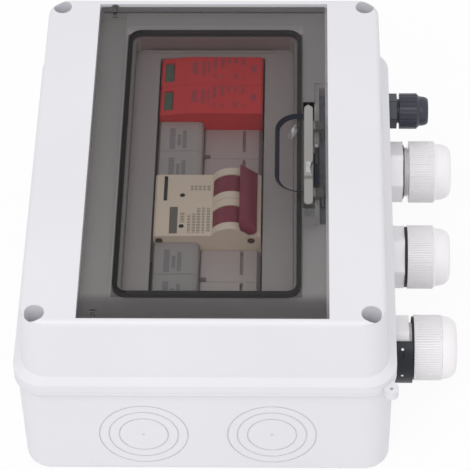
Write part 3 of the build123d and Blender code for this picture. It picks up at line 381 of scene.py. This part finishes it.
carrier_plastic = moulded(
    "carrier_plastic", (0.585, 0.53, 0.52), 0.94, 0.36, far=(0.55, 0.4, 0.4)
)
dress(carrier_plastic, "fuse_carrier_1", "fuse_carrier_2", "fuse_carrier_3", "fuse_carrier_4")

# %% [markdown]
# The breaker is cream, with one dark bar where a maker would print a name, and dashes for the
# small print. Its sunk slot and its two round windows look dark, because they are deep, so a
# mask on their heights darkens them. Its toggle is a deep wine red. The surge protector's
# cartridges are bright red, and their print is dashes too.

# %% Breaker
NOSE_TOP = 79.0
SUNK_TOP = 79.95
SLOT_FLOOR = 77.0
WINDOW_FLOOR = 78.0
LABEL_X, LABEL_Y = (-15.9, -12.5), (-36.4, -21.0)
SLOT_X, SLOT_Y = (-18.8, -17.1), (-17.5, -2.8)
WINDOWS = ((-12.0, -9.6, -15.4, -12.8), (-12.0, -9.6, -33.4, -30.8))
BREAKER_INK = (0.05, 0.055, 0.055)
LABEL_COVER, SMALL_PRINT_COVER = 0.85, 0.5
BREAKER_SHADE = (0.09, 0.1, 0.085)
BREAKER_BARS = (
    (-8.4, -7.1, -36.1, -25.4), (-6.4, -5.0, -36.1, -24.9), (-4.5, -3.0, -36.1, -21.6),
    (-2.3, -1.2, -36.1, -21.2), (-0.3, 1.1, -35.6, -21.6), (-7.4, -6.3, -11.5, -8.2),
    (-5.8, -4.6, -11.5, -8.2), (-4.0, -2.8, -11.5, -8.2), (-2.2, -1.0, -11.5, -8.2),
    (-0.4, 0.9, -11.5, -8.2), (-11.4, -9.6, -29.9, -24.0),
)

breaker_plastic = moulded("breaker_plastic", (0.92, 0.765, 0.625), cloud=0.95, gloss=0.38)
label_bar = breaker_plastic.patch(LABEL_X, LABEL_Y)
small_print = breaker_plastic.print_bars(breaker_plastic.y, BREAKER_BARS, pitch=1.6, dash=1.15)
on_nose = breaker_plastic.z > NOSE_TOP * MM
ink = (label_bar * LABEL_COVER + small_print * SMALL_PRINT_COVER) * on_nose
in_slot = breaker_plastic.patch(SLOT_X, SLOT_Y)
in_slot = in_slot * breaker_plastic.inside(breaker_plastic.z, SLOT_FLOOR, SUNK_TOP)
in_windows = breaker_plastic.patches(*WINDOWS)
in_windows = in_windows * breaker_plastic.inside(breaker_plastic.z, WINDOW_FLOOR, SUNK_TOP)
shaded = (in_slot + in_windows).at_most(1.0)
inked = breaker_plastic.blend(ink, breaker_plastic.colour, BREAKER_INK)
breaker_plastic.set(base_color=breaker_plastic.blend(shaded, inked, BREAKER_SHADE))
dress(breaker_plastic, "breaker_housing")

toggle_plastic = moulded("toggle_plastic", (0.275, 0.026, 0.057), cloud=0.9, gloss=0.34)
dress(toggle_plastic, "breaker_toggle")

# %% Surge protector
CARTRIDGE_START = 34.1
CARTRIDGE_INK = (0.12, 0.06, 0.1)
CARTRIDGE_INK_COVER = 0.62
CARTRIDGE_BARS = (
    (-8.8, -6.3, 6.7, 14.6), (-4.6, -3.0, 5.8, 15.5), (-2.1, -0.9, 7.7, 14.6),
    (0.4, 2.1, 10.0, 17.2), (3.7, 5.4, 10.9, 17.2), (6.7, 8.2, 13.7, 17.2),
    (9.4, 11.0, 13.2, 17.2), (12.9, 14.5, 12.8, 17.2), (17.0, 19.6, 7.7, 12.3),
    (0.5, 1.8, 4.0, 6.8), (4.0, 5.2, 4.0, 6.3), (7.2, 8.1, 4.4, 5.9),
    (9.6, 11.2, 3.6, 7.7), (13.1, 14.3, 3.6, 5.7),
)

cartridge_plastic = moulded("cartridge_plastic", (0.84, 0.03, 0.035), cloud=0.93, gloss=0.36)
rows = (cartridge_plastic.y - CARTRIDGE_START * MM).wrap(MODULE_PITCH * MM)
cartridge_print = cartridge_plastic.print_bars(rows, CARTRIDGE_BARS, pitch=1.4, dash=1.05)
on_top = cartridge_plastic.z > NOSE_TOP * MM
cartridge_print = cartridge_print * on_top * CARTRIDGE_INK_COVER
inked = cartridge_plastic.blend(cartridge_print, cartridge_plastic.colour, CARTRIDGE_INK)
cartridge_plastic.set(base_color=inked)
dress(cartridge_plastic, "spd_cartridge_1", "spd_cartridge_2")

spd_plastic = moulded("spd_plastic", (0.56, 0.05, 0.055), cloud=0.93, gloss=0.42)
dress(spd_plastic, "spd_base")

clip_plastic = moulded("clip_plastic", (0.045, 0.045, 0.05), cloud=0.85, gloss=0.5)
dress(
    clip_plastic, "breaker_clip", "spd_clip",
    "fuse_clip_1", "fuse_clip_2", "fuse_clip_3", "fuse_clip_4",
)

# %% [markdown]
# ## Cable glands
#
# Glands are turned from nylon. White nylon is a touch milky, and its shine is softer than the
# case's. The small gland and the snap band are black, with faint clouds.

# %% Nylon
white_nylon = moulded("white_nylon", (0.9, 0.876, 0.898), cloud=0.98, gloss=0.3, grain=0.03)
dress(
    white_nylon,
    *(f"white_gland_{count}_{piece}" for count in (1, 2, 3) for piece in ("body", "nut")),
    "gland_locknuts",
)
black_nylon = moulded("black_nylon", (0.044, 0.048, 0.068), cloud=0.8, gloss=0.34, grain=0.03)
black_nylon.set(specular_ior_level=0.35)
dress(black_nylon, "black_gland_body", "black_gland_nut")
band_nylon = moulded("band_nylon", (0.016, 0.018, 0.026), cloud=0.8, gloss=0.4, grain=0.03)
band_nylon.set(specular_ior_level=0.3)
dress(band_nylon, "gland_band")

# %% [markdown]
# Rubber seals the box: the gasket under the door, the washers behind the glands and the
# sleeves inside them. Rubber is black and dull, and where it blooms it turns a little paler
# and duller still. One soft noise drives both. The foam cord in the lid is the dullest.

# %% Rubber
BLOOM_COVER = 0.35


def rubber(name, colour, gloss=0.62):
    """Soft black rubber with a dusty bloom."""
    finish = Finish(name)
    bloom = finish.ramp(finish.noise(260, 4), 0.45, 0.8) * BLOOM_COVER
    finish.set(
        base_color=finish.blend(bloom, colour, [part * 2.2 for part in colour]),
        roughness=gloss + bloom * 0.4,
        normal=finish.bump(finish.noise(2300, 2), 0.06 * MM, 0.6),
    )
    return finish


gasket_rubber = rubber("gasket_rubber", (0.016, 0.016, 0.018))
dress(gasket_rubber, "door_gasket", "gland_washers")
sleeve_rubber = rubber("sleeve_rubber", (0.03, 0.03, 0.034))
dress(
    sleeve_rubber, *(f"white_gland_{count}_insert" for count in (1, 2, 3)), "black_gland_insert"
)
seal_foam = rubber("seal_foam", (0.05, 0.05, 0.055), gloss=0.85)
dress(seal_foam, "lid_seal")

# %% [markdown]
# ## Metal
#
# Metal is told by its reflections. Rolled and drawn steel has long streaks, which we get from
# noise stretched along one axis. Zinc plating adds soft patches of two greys.

# %% Steel
def steel(name, colour, gloss=0.3, streak=(1, 0.06, 1)):
    """Plated steel: streaks along one axis and patches of two greys."""
    finish = Finish(name)
    streaks = finish.noise(900, 3, streak)
    patches = finish.ramp(finish.noise(120, 2), 0.4, 0.6)
    finish.set(
        base_color=finish.blend(patches, colour, [part * 0.86 for part in colour]),
        metallic=1.0,
        roughness=gloss + (streaks - 0.5) * 0.3,
        normal=finish.bump(streaks, 0.02 * MM, 0.4, 0.15 * MM),
    )
    return finish


screw_steel = steel("screw_steel", (0.6, 0.585, 0.56), gloss=0.34)
dress(screw_steel, "lid_screws", "rail_screws", "hinge_pins", "latch_pin", "latch_spring")
rail_steel = steel("rail_steel", (0.62, 0.63, 0.62), gloss=0.4)
dress(rail_steel, "din_rail")
terminal_metal = steel("terminal_metal", (0.68, 0.64, 0.55), gloss=0.28, streak=(1, 1, 0.1))
dress(terminal_metal, "terminal_screws")

# %% [markdown]
# Each fuse is a small ceramic tube inside its carrier. Glazed ceramic is a pale, glossy shell,
# so the recipe for plastic serves for it too.

# %% Fuses
ceramic = moulded("fuse_ceramic", (0.74, 0.72, 0.66), cloud=0.94, gloss=0.25)
dress(ceramic, "fuse_links")

# %% [markdown]
# The latch lever is a bar that a finger presses, with two hooks under the door. The bar is a
# dull dark grey without a mirror's shine, and the recipe for plastic comes closer to that than
# the one for steel. It has one painted highlight and a neck of painted shade. The hooks hardly
# show through the smoke, so the lever's lower part is painted with the light and shade of what
# lies round it: nearly white over the ledge, grey over the strip in the slot, and black, as
# painted shadow, beside the slot.

# %% Latch
LEVER_LOW = 87.0
HOOK_STRIP_X = 46.9
HOOK_GAP_X, HOOK_GAP_Y = (44.4, 46.9), (-20.0, 9.5)
HIGHLIGHT_X, HIGHLIGHT_Y = (41.2, 43.1), (-11.2, -4.9)
NECK_Y = (-15.2, -13.2)
HOOK_PAINTED_LIGHT, STRIP_SHADE_GREY, GAP_PAINTED_SHADOW = (0.95, 0.93, 0.95), (0.42, 0.42, 0.48), (0.03, 0.03, 0.035)
HIGHLIGHT_TONE, NECK_SHADE = (0.4, 0.4, 0.4), (0.13, 0.13, 0.115)

latch_plastic = moulded("latch_plastic", (0.27, 0.258, 0.25), cloud=0.9, gloss=0.3)
# painted light and shade on the hooks, and a painted shadow beside the slot
over_strip = latch_plastic.x > HOOK_STRIP_X * MM
hook_light_and_shade = latch_plastic.blend(over_strip, HOOK_PAINTED_LIGHT, STRIP_SHADE_GREY)
gap_shadow = latch_plastic.patch(HOOK_GAP_X, HOOK_GAP_Y)
hook_light_and_shade = latch_plastic.blend(gap_shadow, hook_light_and_shade, GAP_PAINTED_SHADOW)
# a painted highlight and a neck of painted shade on the bar
painted_highlight = latch_plastic.patch(HIGHLIGHT_X, HIGHLIGHT_Y)
shaded_neck = latch_plastic.inside(latch_plastic.y, *NECK_Y)
bar = latch_plastic.blend(painted_highlight, latch_plastic.colour, HIGHLIGHT_TONE)
bar = latch_plastic.blend(shaded_neck, bar, NECK_SHADE)
below = latch_plastic.z < LEVER_LOW * MM
latch_plastic.set(base_color=latch_plastic.blend(below, bar, hook_light_and_shade))
dress(latch_plastic, "latch_lever")

# %% [markdown]
# ## The smoked door
#
# The door is clear plastic with a smoke tint, so it's see-through and glossy at once. Glass
# that bends light would shift everything behind it, and a thin flat door hardly does that.
# So we keep the light straight and use Alpha: a dark, shiny shader that is partly not there.
# Light crosses both faces of the plate on its way in and again on its way out, which darkens
# what lies behind four times. The rim outside the gasket is a little darker, as painted shade,
# and the band along the near edge is darker still, as painted shade too. The smoke also thickens
# toward the far end, as painted shade, and a thin strip along the right edge is paler and
# clearer, as a painted highlight.
#
# Beside the latch bar, a D-shaped hollow gives room to a finger. Its side slopes so steeply
# that light from below can't come straight up through it, so the slope looks nearly black.
# We find the slope by its distance from the D's outline and lay a nearly black coat of painted
# shade on it, and on the slot beside the bar. A painted glint lies in the hollow, and a
# half-clear grey pad of painted light veils the shaded recess that holds the latch's pin.

# %% Smoke
SMOKE_MIDDLE = 0.257
SMOKE_FAR_SHADE = 0.033
SMOKE_RIM_SHADE = 0.068
SMOKE_NEAR_SHADE = 0.19

GRIP_EDGE = (40.3, 0.7)
GRIP_HALF = (12.2, 23.5)
GRIP_CORNER = 10.0
GRIP_SLOPE = 1.9
SIDE_SLOT_X, SIDE_SLOT_Y = (44.6, 46.4), (-18.6, 6.0)
BLACK_ABOVE = 89.4
GLINT = (36.0, 15.0)
GLINT_HALF = (1.8, 5.4)
GLINT_LEAN = 0.35
GLINT_ABOVE = 88.9
PAD_X, PAD_Y = (39.6, 45.6), (-42.0, -32.4)
PAD_ABOVE = 90.5
GASKET_X, GASKET_Y = (-38.0, 40.0), (-78.5, 80.0)
DOOR_HALF_Y = 80
NEAR_BAND_START, NEAR_BAND_FULL = -79.5, -83.0
NEAR_BAND_HOLD, NEAR_BAND_END = -92.0, -93.5
EDGE_HIGHLIGHT_X = 49.5
EDGE_HIGHLIGHT_CLEARER = 0.08
EDGE_HIGHLIGHT_TINT = (0.3, 0.3, 0.31)
SMOKE_TINTS = ((0.014, 0.0115, 0.012), (0.022, 0.0185, 0.0195))
PAD_LIGHT_GREY, PAD_COVER = (0.135, 0.132, 0.136), 0.6
GLINT_GREY, GLINT_COVER = (0.42, 0.41, 0.42), 0.75
SLOPE_SHADE_BLACK, SLOPE_COVER = (0.012, 0.013, 0.02), 0.96

smoke = Finish("smoked_door")
smudges = smoke.noise(35, 4)
middle = smoke.patch(GASKET_X, GASKET_Y)

# distance to the D outline of the finger recess, negative inside it
over_x = (smoke.x - GRIP_EDGE[0] * MM).size() - (GRIP_HALF[0] - GRIP_CORNER) * MM
over_y = (smoke.y - GRIP_EDGE[1] * MM).size() - (GRIP_HALF[1] - GRIP_CORNER) * MM
out_x, out_y = over_x.at_least(0.0), over_y.at_least(0.0)
reach = (out_x * out_x + out_y * out_y).root()
distance = reach + over_x.at_least(over_y).at_most(0.0) - GRIP_CORNER * MM
slope = (distance < 0.0) * (distance > -GRIP_SLOPE * MM) * (smoke.x < GRIP_EDGE[0] * MM)
side_slot = smoke.patch(SIDE_SLOT_X, SIDE_SLOT_Y)
# painted shade: a nearly black coat on the D's slope and on the slot beside the bar
black = (slope + side_slot) * (smoke.z > BLACK_ABOVE * MM)

# a painted glint: an oval that leans, broken up by noise
from_glint = smoke.y - GLINT[1] * MM
glint_x = (smoke.x - GLINT[0] * MM - from_glint * GLINT_LEAN) / (GLINT_HALF[0] * MM)
glint_y = from_glint / (GLINT_HALF[1] * MM)
glint = smoke.ramp(glint_x * glint_x + glint_y * glint_y, 1.0, 0.15)
broken = smoke.ramp(smoke.noise(900, 3, (1, 0.3, 1)), 0.36, 0.62)
glint = glint * broken * (smoke.z > GLINT_ABOVE * MM)

# painted light: a half-clear grey pad over the shaded recess of the latch's pin
painted_light_pad = smoke.patch(PAD_X, PAD_Y) * (smoke.z > PAD_ABOVE * MM)

# painted shade toward the far end, on the rim and near band; a painted highlight at the right
toward_far = smoke.y / (DOOR_HALF_Y * MM)
near_shade_band = smoke.ramp(smoke.y, NEAR_BAND_START * MM, NEAR_BAND_FULL * MM)
near_shade_band = near_shade_band * smoke.ramp(smoke.y, NEAR_BAND_END * MM, NEAR_BAND_HOLD * MM)
edge_highlight = smoke.x > EDGE_HIGHLIGHT_X * MM
veil = SMOKE_MIDDLE + toward_far * SMOKE_FAR_SHADE + (1.0 - middle) * SMOKE_RIM_SHADE
veil = veil + near_shade_band * SMOKE_NEAR_SHADE
tint = smoke.blend(smudges, *SMOKE_TINTS)
tint = smoke.blend(edge_highlight, tint, EDGE_HIGHLIGHT_TINT)
smoke.set(
    base_color=tint,
    roughness=0.05 + smoke.ramp(smudges, 0.45, 0.75) * 0.08,
    alpha=veil - edge_highlight * EDGE_HIGHLIGHT_CLEARER,
    specular_ior_level=0.3,
)
smoke.cover(painted_light_pad * PAD_COVER, PAD_LIGHT_GREY, roughness=0.3)
smoke.cover(glint * GLINT_COVER, GLINT_GREY, roughness=0.3)
smoke.cover(black.at_most(SLOPE_COVER), SLOPE_SHADE_BLACK)
dress(smoke, "door_window")

# %% [markdown]
# ## Small pieces
#
# A few small things are quicker to model by hand than to draw in CAD. Each starts from a
# primitive in its place and is shaped in edit mode. This helper finishes them all: it bakes
# the object's place into the mesh, gives the finish, and lets the piece ride on its body.

# %% Finishing a piece
def deselect():
    if bpy.context.object and bpy.context.object.mode == "EDIT":
        bpy.ops.object.mode_set(mode="OBJECT")
    bpy.ops.object.select_all(action="DESELECT")


def settle(name, finish, body="enclosure"):
    """Names the active piece, closes and turns its mesh outwards, dresses it and lets it ride."""
    piece = bpy.context.object
    bpy.ops.object.mode_set(mode="EDIT")
    bpy.ops.mesh.select_all(action="SELECT")
    bpy.ops.mesh.remove_doubles(threshold=0.000005)
    bpy.ops.mesh.normals_make_consistent(inside=False)
    bpy.ops.object.mode_set(mode="OBJECT")
    bpy.ops.object.transform_apply(location=True, rotation=True, scale=True)
    bpy.ops.object.shade_smooth_by_angle(angle=math.radians(35))
    piece.name = name
    piece.data.name = name
    piece.data.materials.clear()
    piece.data.materials.append(finish.material)
    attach(piece, body)
    print(name, "made, size in mm", [round(v / MM, 2) for v in piece.dimensions])


def select_faces(test):
    """Selects the faces of the mesh in edit mode whose centre and normal pass a test."""
    mesh = bmesh.from_edit_mesh(bpy.context.object.data)
    for face in mesh.faces:
        face.select_set(bool(test(face.calc_center_median(), face.normal)))
    mesh.select_flush_mode()
    bmesh.update_edit_mesh(bpy.context.object.data)


# %% [markdown]
# Each surge cartridge has a small window that shows green while it works. It is a lens set
# in a pocket: a slab with soft edges, and a shallow dish pressed into its top.

# %% Status lenses
lens_green = Finish("lens_green")
lens_clouds = lens_green.ramp(lens_green.noise(300, 2), 0.3, 0.7)
lens_green.set(
    base_color=lens_green.blend(lens_clouds, (0.065, 0.125, 0.075), (0.085, 0.155, 0.095)),
    roughness=0.16 + lens_clouds * 0.06,
)
LENS_SIZE = (3.9, 11.6, 0.9)
LENS_X = -18.6
LENS_Y = (43.1, 61.1)
LENS_TOP = 79.75
LENS_ROUNDING, LENS_RIM, LENS_DISH = 0.18, 0.45, 0.12
for count, y in enumerate(LENS_Y, start=1):
    deselect()
    place = (LENS_X * MM, y * MM, (LENS_TOP - LENS_SIZE[2] / 2) * MM)
    bpy.ops.mesh.primitive_cube_add(size=1, location=place, scale=[v * MM for v in LENS_SIZE])
    bpy.ops.object.transform_apply(location=False, rotation=False, scale=True)
    bpy.ops.object.mode_set(mode="EDIT")
    bpy.ops.mesh.select_all(action="SELECT")
    bpy.ops.mesh.bevel(offset=LENS_ROUNDING * MM, segments=2, affect="EDGES")
    select_faces(lambda centre, normal: normal.z > 0.99)
    bpy.ops.mesh.inset(thickness=LENS_RIM * MM, depth=-LENS_DISH * MM)
    settle(f"spd_lens_{count}", lens_green)

# %% [markdown]
# The breaker's halves are held by rivets, and the snap band round the third gland is pinned
# by two pale pegs. Both are studs: a short cylinder whose end is stepped up into a low dome.

# %% Studs
# each step of the dome: how far in, as a share of the radius, and how far out, of the length
DOME_STEPS = ((0.1, 0.03), (0.2, 0.035), (0.35, 0.025))


def stud(name, place, toward, radius, length, finish):
    """A domed stud in millimetres, whose dome ends at a place and looks toward a direction."""
    deselect()
    aim = Vector(toward).normalized()
    middle = Vector(place) - aim * (length / 2)
    bpy.ops.mesh.primitive_cylinder_add(
        vertices=28, radius=radius * MM, depth=length * 0.8 * MM, location=middle * MM,
        rotation=aim.to_track_quat("Z", "Y").to_euler(),
    )
    bpy.ops.object.mode_set(mode="EDIT")
    select_faces(lambda centre, normal: normal.z > 0.99)
    for share, rise in DOME_STEPS:
        bpy.ops.mesh.inset(thickness=radius * share * MM, depth=length * rise * MM)
    settle(name, finish)


rivet_brass = steel("rivet_brass", (0.2, 0.12, 0.07), gloss=0.45)
RIVET_X, RIVET_END_Y, RIVET_Z = (-20.0, 18.4), -37.95, 77.1
for count, x in enumerate(RIVET_X, start=1):
    place = (x, RIVET_END_Y, RIVET_Z)
    stud(f"breaker_rivet_{count}", place, (0, -1, 0), 1.5, 1.0, rivet_brass)

GLAND_THREE = (-52.6, 27.0)
BAND_OUTER = 15.1
PEG_X, PEG_DEGREES = 81.99, (45.7, -3.3)
for count, degrees in enumerate(PEG_DEGREES, start=1):
    lift, back = math.sin(math.radians(degrees)), -math.cos(math.radians(degrees))
    place = (PEG_X, GLAND_THREE[0] + back * BAND_OUTER, GLAND_THREE[1] + lift * BAND_OUTER)
    stud(f"band_peg_{count}", place, (0, back, lift), 0.6, 0.95, white_nylon)

# %% [markdown]
# Where a gland's dome nut meets its collar, the gap is deep and in shade, and a thin black
# ring stands there as painted shade. On the first gland two turns of its white thread show as
# well, and we make each of them a ring. A ring is a small profile that is spun round the
# gland's axis. Spinning leaves a double seam and may turn the ring inside out, and `settle`
# mends both. It also leaves the profile's own face inside the ring at every step. These faces
# stay hidden in the ring, but they are strays: a mesh that is measured or printed needs the
# profile's face deleted before the spin.

# %% Rings in the glands
def ring(name, centre, radii, width, finish):
    """A ring round a line along X: its inner and outer radius and its width, in millimetres."""
    deselect()
    middle = Vector((centre[0], centre[1] + (radii[0] + radii[1]) / 2, centre[2])) * MM
    bpy.ops.mesh.primitive_plane_add(size=1, location=middle)
    piece = bpy.context.object
    piece.scale = (width * MM, (radii[1] - radii[0]) * MM, 1)
    bpy.ops.object.transform_apply(location=True, rotation=False, scale=True)
    bpy.ops.object.mode_set(mode="EDIT")
    bpy.ops.mesh.select_all(action="SELECT")
    bpy.ops.mesh.bevel(offset=width * 0.2 * MM, segments=2, affect="VERTICES")
    bpy.ops.mesh.select_all(action="SELECT")
    axis = Vector(centre) * MM
    bpy.ops.mesh.spin(steps=72, angle=math.tau, center=axis, axis=(1, 0, 0))
    settle(name, finish)


GLAND_SEAT, GLAND_ONE_Y, GLAND_Z = 76.6, 52.6, 27.0
THREAD_INNER, THREAD_OUTER = 10.5, 11.2
THREAD_WIDTH, THREAD_TURNS = 0.5, (9.3, 10.2)
# painted shade: a black ring in the deep gap between each gland's nut and collar
# for each gland: how far out, its y, the ring's outer radius and its width
SHADE_RINGS = ((8.62, 52.6, 12.3, 0.35), (8.42, 0.0, 13.3, 1.0), (9.9, -52.6, 13.3, 0.7))
for count, (out, y, outer, width) in enumerate(SHADE_RINGS, start=1):
    centre = (GLAND_SEAT + out, y, GLAND_Z)
    radii = (THREAD_INNER, outer)
    ring(f"shade_ring_{count}", centre, radii, width, gasket_rubber)
for count, out in enumerate(THREAD_TURNS, start=1):
    centre = (GLAND_SEAT + out, GLAND_ONE_Y, GLAND_Z)
    radii = (THREAD_INNER, THREAD_OUTER)
    ring(f"thread_turn_{count}", centre, radii, THREAD_WIDTH, white_nylon)

# %% [markdown]
# The latch's hooks drop into a long slot beside the door. The slot is deep and in shade, so a
# strip of rubber on its floor stands there as painted shade. It looks dark through the smoke,
# so a mid grey is enough. It's a bar cut into forty bits, with every second bit pressed down a
# little.

# %% Painted shade: a rubber strip under the hooks
STRIP_X = (47.0, 49.3)
STRIP_Y = (-35.7, 45.9)
STRIP_Z = (78.55, 80.2)
STRIP_BITS = 40
STRIP_RIM, STRIP_PRESS = 0.2, 0.25
deselect()
low, high = (Vector(corner) * MM for corner in zip(STRIP_X, STRIP_Y, STRIP_Z))
bpy.ops.mesh.primitive_cube_add(size=1, location=(low + high) / 2, scale=high - low)
bpy.ops.object.transform_apply(location=True, rotation=False, scale=True)
bpy.ops.object.mode_set(mode="EDIT")
mesh = bmesh.from_edit_mesh(bpy.context.object.data)
for edge in mesh.edges:
    edge.select_set(abs((edge.verts[0].co - edge.verts[1].co).y) > 10 * MM)
bmesh.update_edit_mesh(bpy.context.object.data)
bpy.ops.mesh.subdivide(number_cuts=STRIP_BITS - 1)
bit = (high.y - low.y) / STRIP_BITS
select_faces(lambda centre, normal: normal.z > 0.9 and int((centre.y - low.y) / bit) % 2 == 0)
bpy.ops.mesh.inset(thickness=STRIP_RIM * MM, depth=-STRIP_PRESS * MM, use_individual=True)
slot_shade_rubber = rubber("slot_shade_rubber", (0.42, 0.42, 0.48))
settle("slot_shade_strip", slot_shade_rubber)

# %% [markdown]
# ## Studio
#
# The box lies on a white table under a white sky. The sky alone would give flat light, so one
# wide lamp high in front adds a soft direction, and it stays weak so that white stays below
# full white. The camera and the reflections see the sky as pure white, and the table as
# nearly so, which leaves the box's soft shadow on it.

# %% Table
TABLE_SIZE = 6.0
TABLE_GAP = 0.4
TABLE_GREY = 0.88
TABLE_GLOW = 0.92
deselect()
table_top = cad_box[0].z - TABLE_GAP * MM
bpy.ops.mesh.primitive_plane_add(size=TABLE_SIZE, location=(0, 0, table_top))
table = bpy.context.object
table.name = "studio_table"

table_finish = Finish("studio_white")
seen = table_finish.any_ray("Is Camera Ray", "Is Glossy Ray", "Is Transmission Ray")
paper = table_finish.node("ShaderNodeBsdfDiffuse", sockets={"Color": [TABLE_GREY] * 3})
glow = table_finish.node("ShaderNodeEmission", sockets={"Color": (1, 1, 1), "Strength": 1.0})
both = table_finish.node("ShaderNodeMixShader", sockets={0: seen * TABLE_GLOW, 1: paper, 2: glow})
table_finish.feed(table_finish.tree.nodes["Material Output"].inputs["Surface"], both)
table.data.materials.append(table_finish.material)
print("table", TABLE_SIZE, "m wide, its top at", round(table_top / MM, 2), "mm")

# %% Sky
SKY_LIGHT = 0.8
world = bpy.data.worlds.new("studio_sky")
bpy.context.scene.world = world
world.use_nodes = True
sky = Graph(world.node_tree)
background = sky.tree.nodes["Background"]
seen = sky.any_ray("Is Camera Ray", "Is Glossy Ray")
sky.feed(background.inputs["Color"], (1, 1, 1))
sky.feed(background.inputs["Strength"], SKY_LIGHT + seen * (1.0 - SKY_LIGHT))
print("the sky lights the box at", SKY_LIGHT, "and is seen at 1")

# %% Lamp
LAMP_PLACE = Vector((-0.28, -1.2, 1.7))
LAMP_AIM = Vector((0, 0, 0.05))
LAMP_WIDTH = 1.2
LAMP_WATTS = 14
lamp_data = bpy.data.lights.new("soft_lamp", "AREA")
lamp_data.shape = "SQUARE"
lamp_data.size = LAMP_WIDTH
lamp_data.energy = LAMP_WATTS
lamp = bpy.data.objects.new("soft_lamp", lamp_data)
bpy.context.scene.collection.objects.link(lamp)
lamp.location = LAMP_PLACE
lamp.rotation_mode = "QUATERNION"
lamp.rotation_quaternion = (LAMP_AIM - LAMP_PLACE).to_track_quat("-Z", "Y")
print("lamp", LAMP_WIDTH, "m wide, at", [round(v, 2) for v in LAMP_PLACE])

bpy.context.scene.view_settings.view_transform = "Standard"
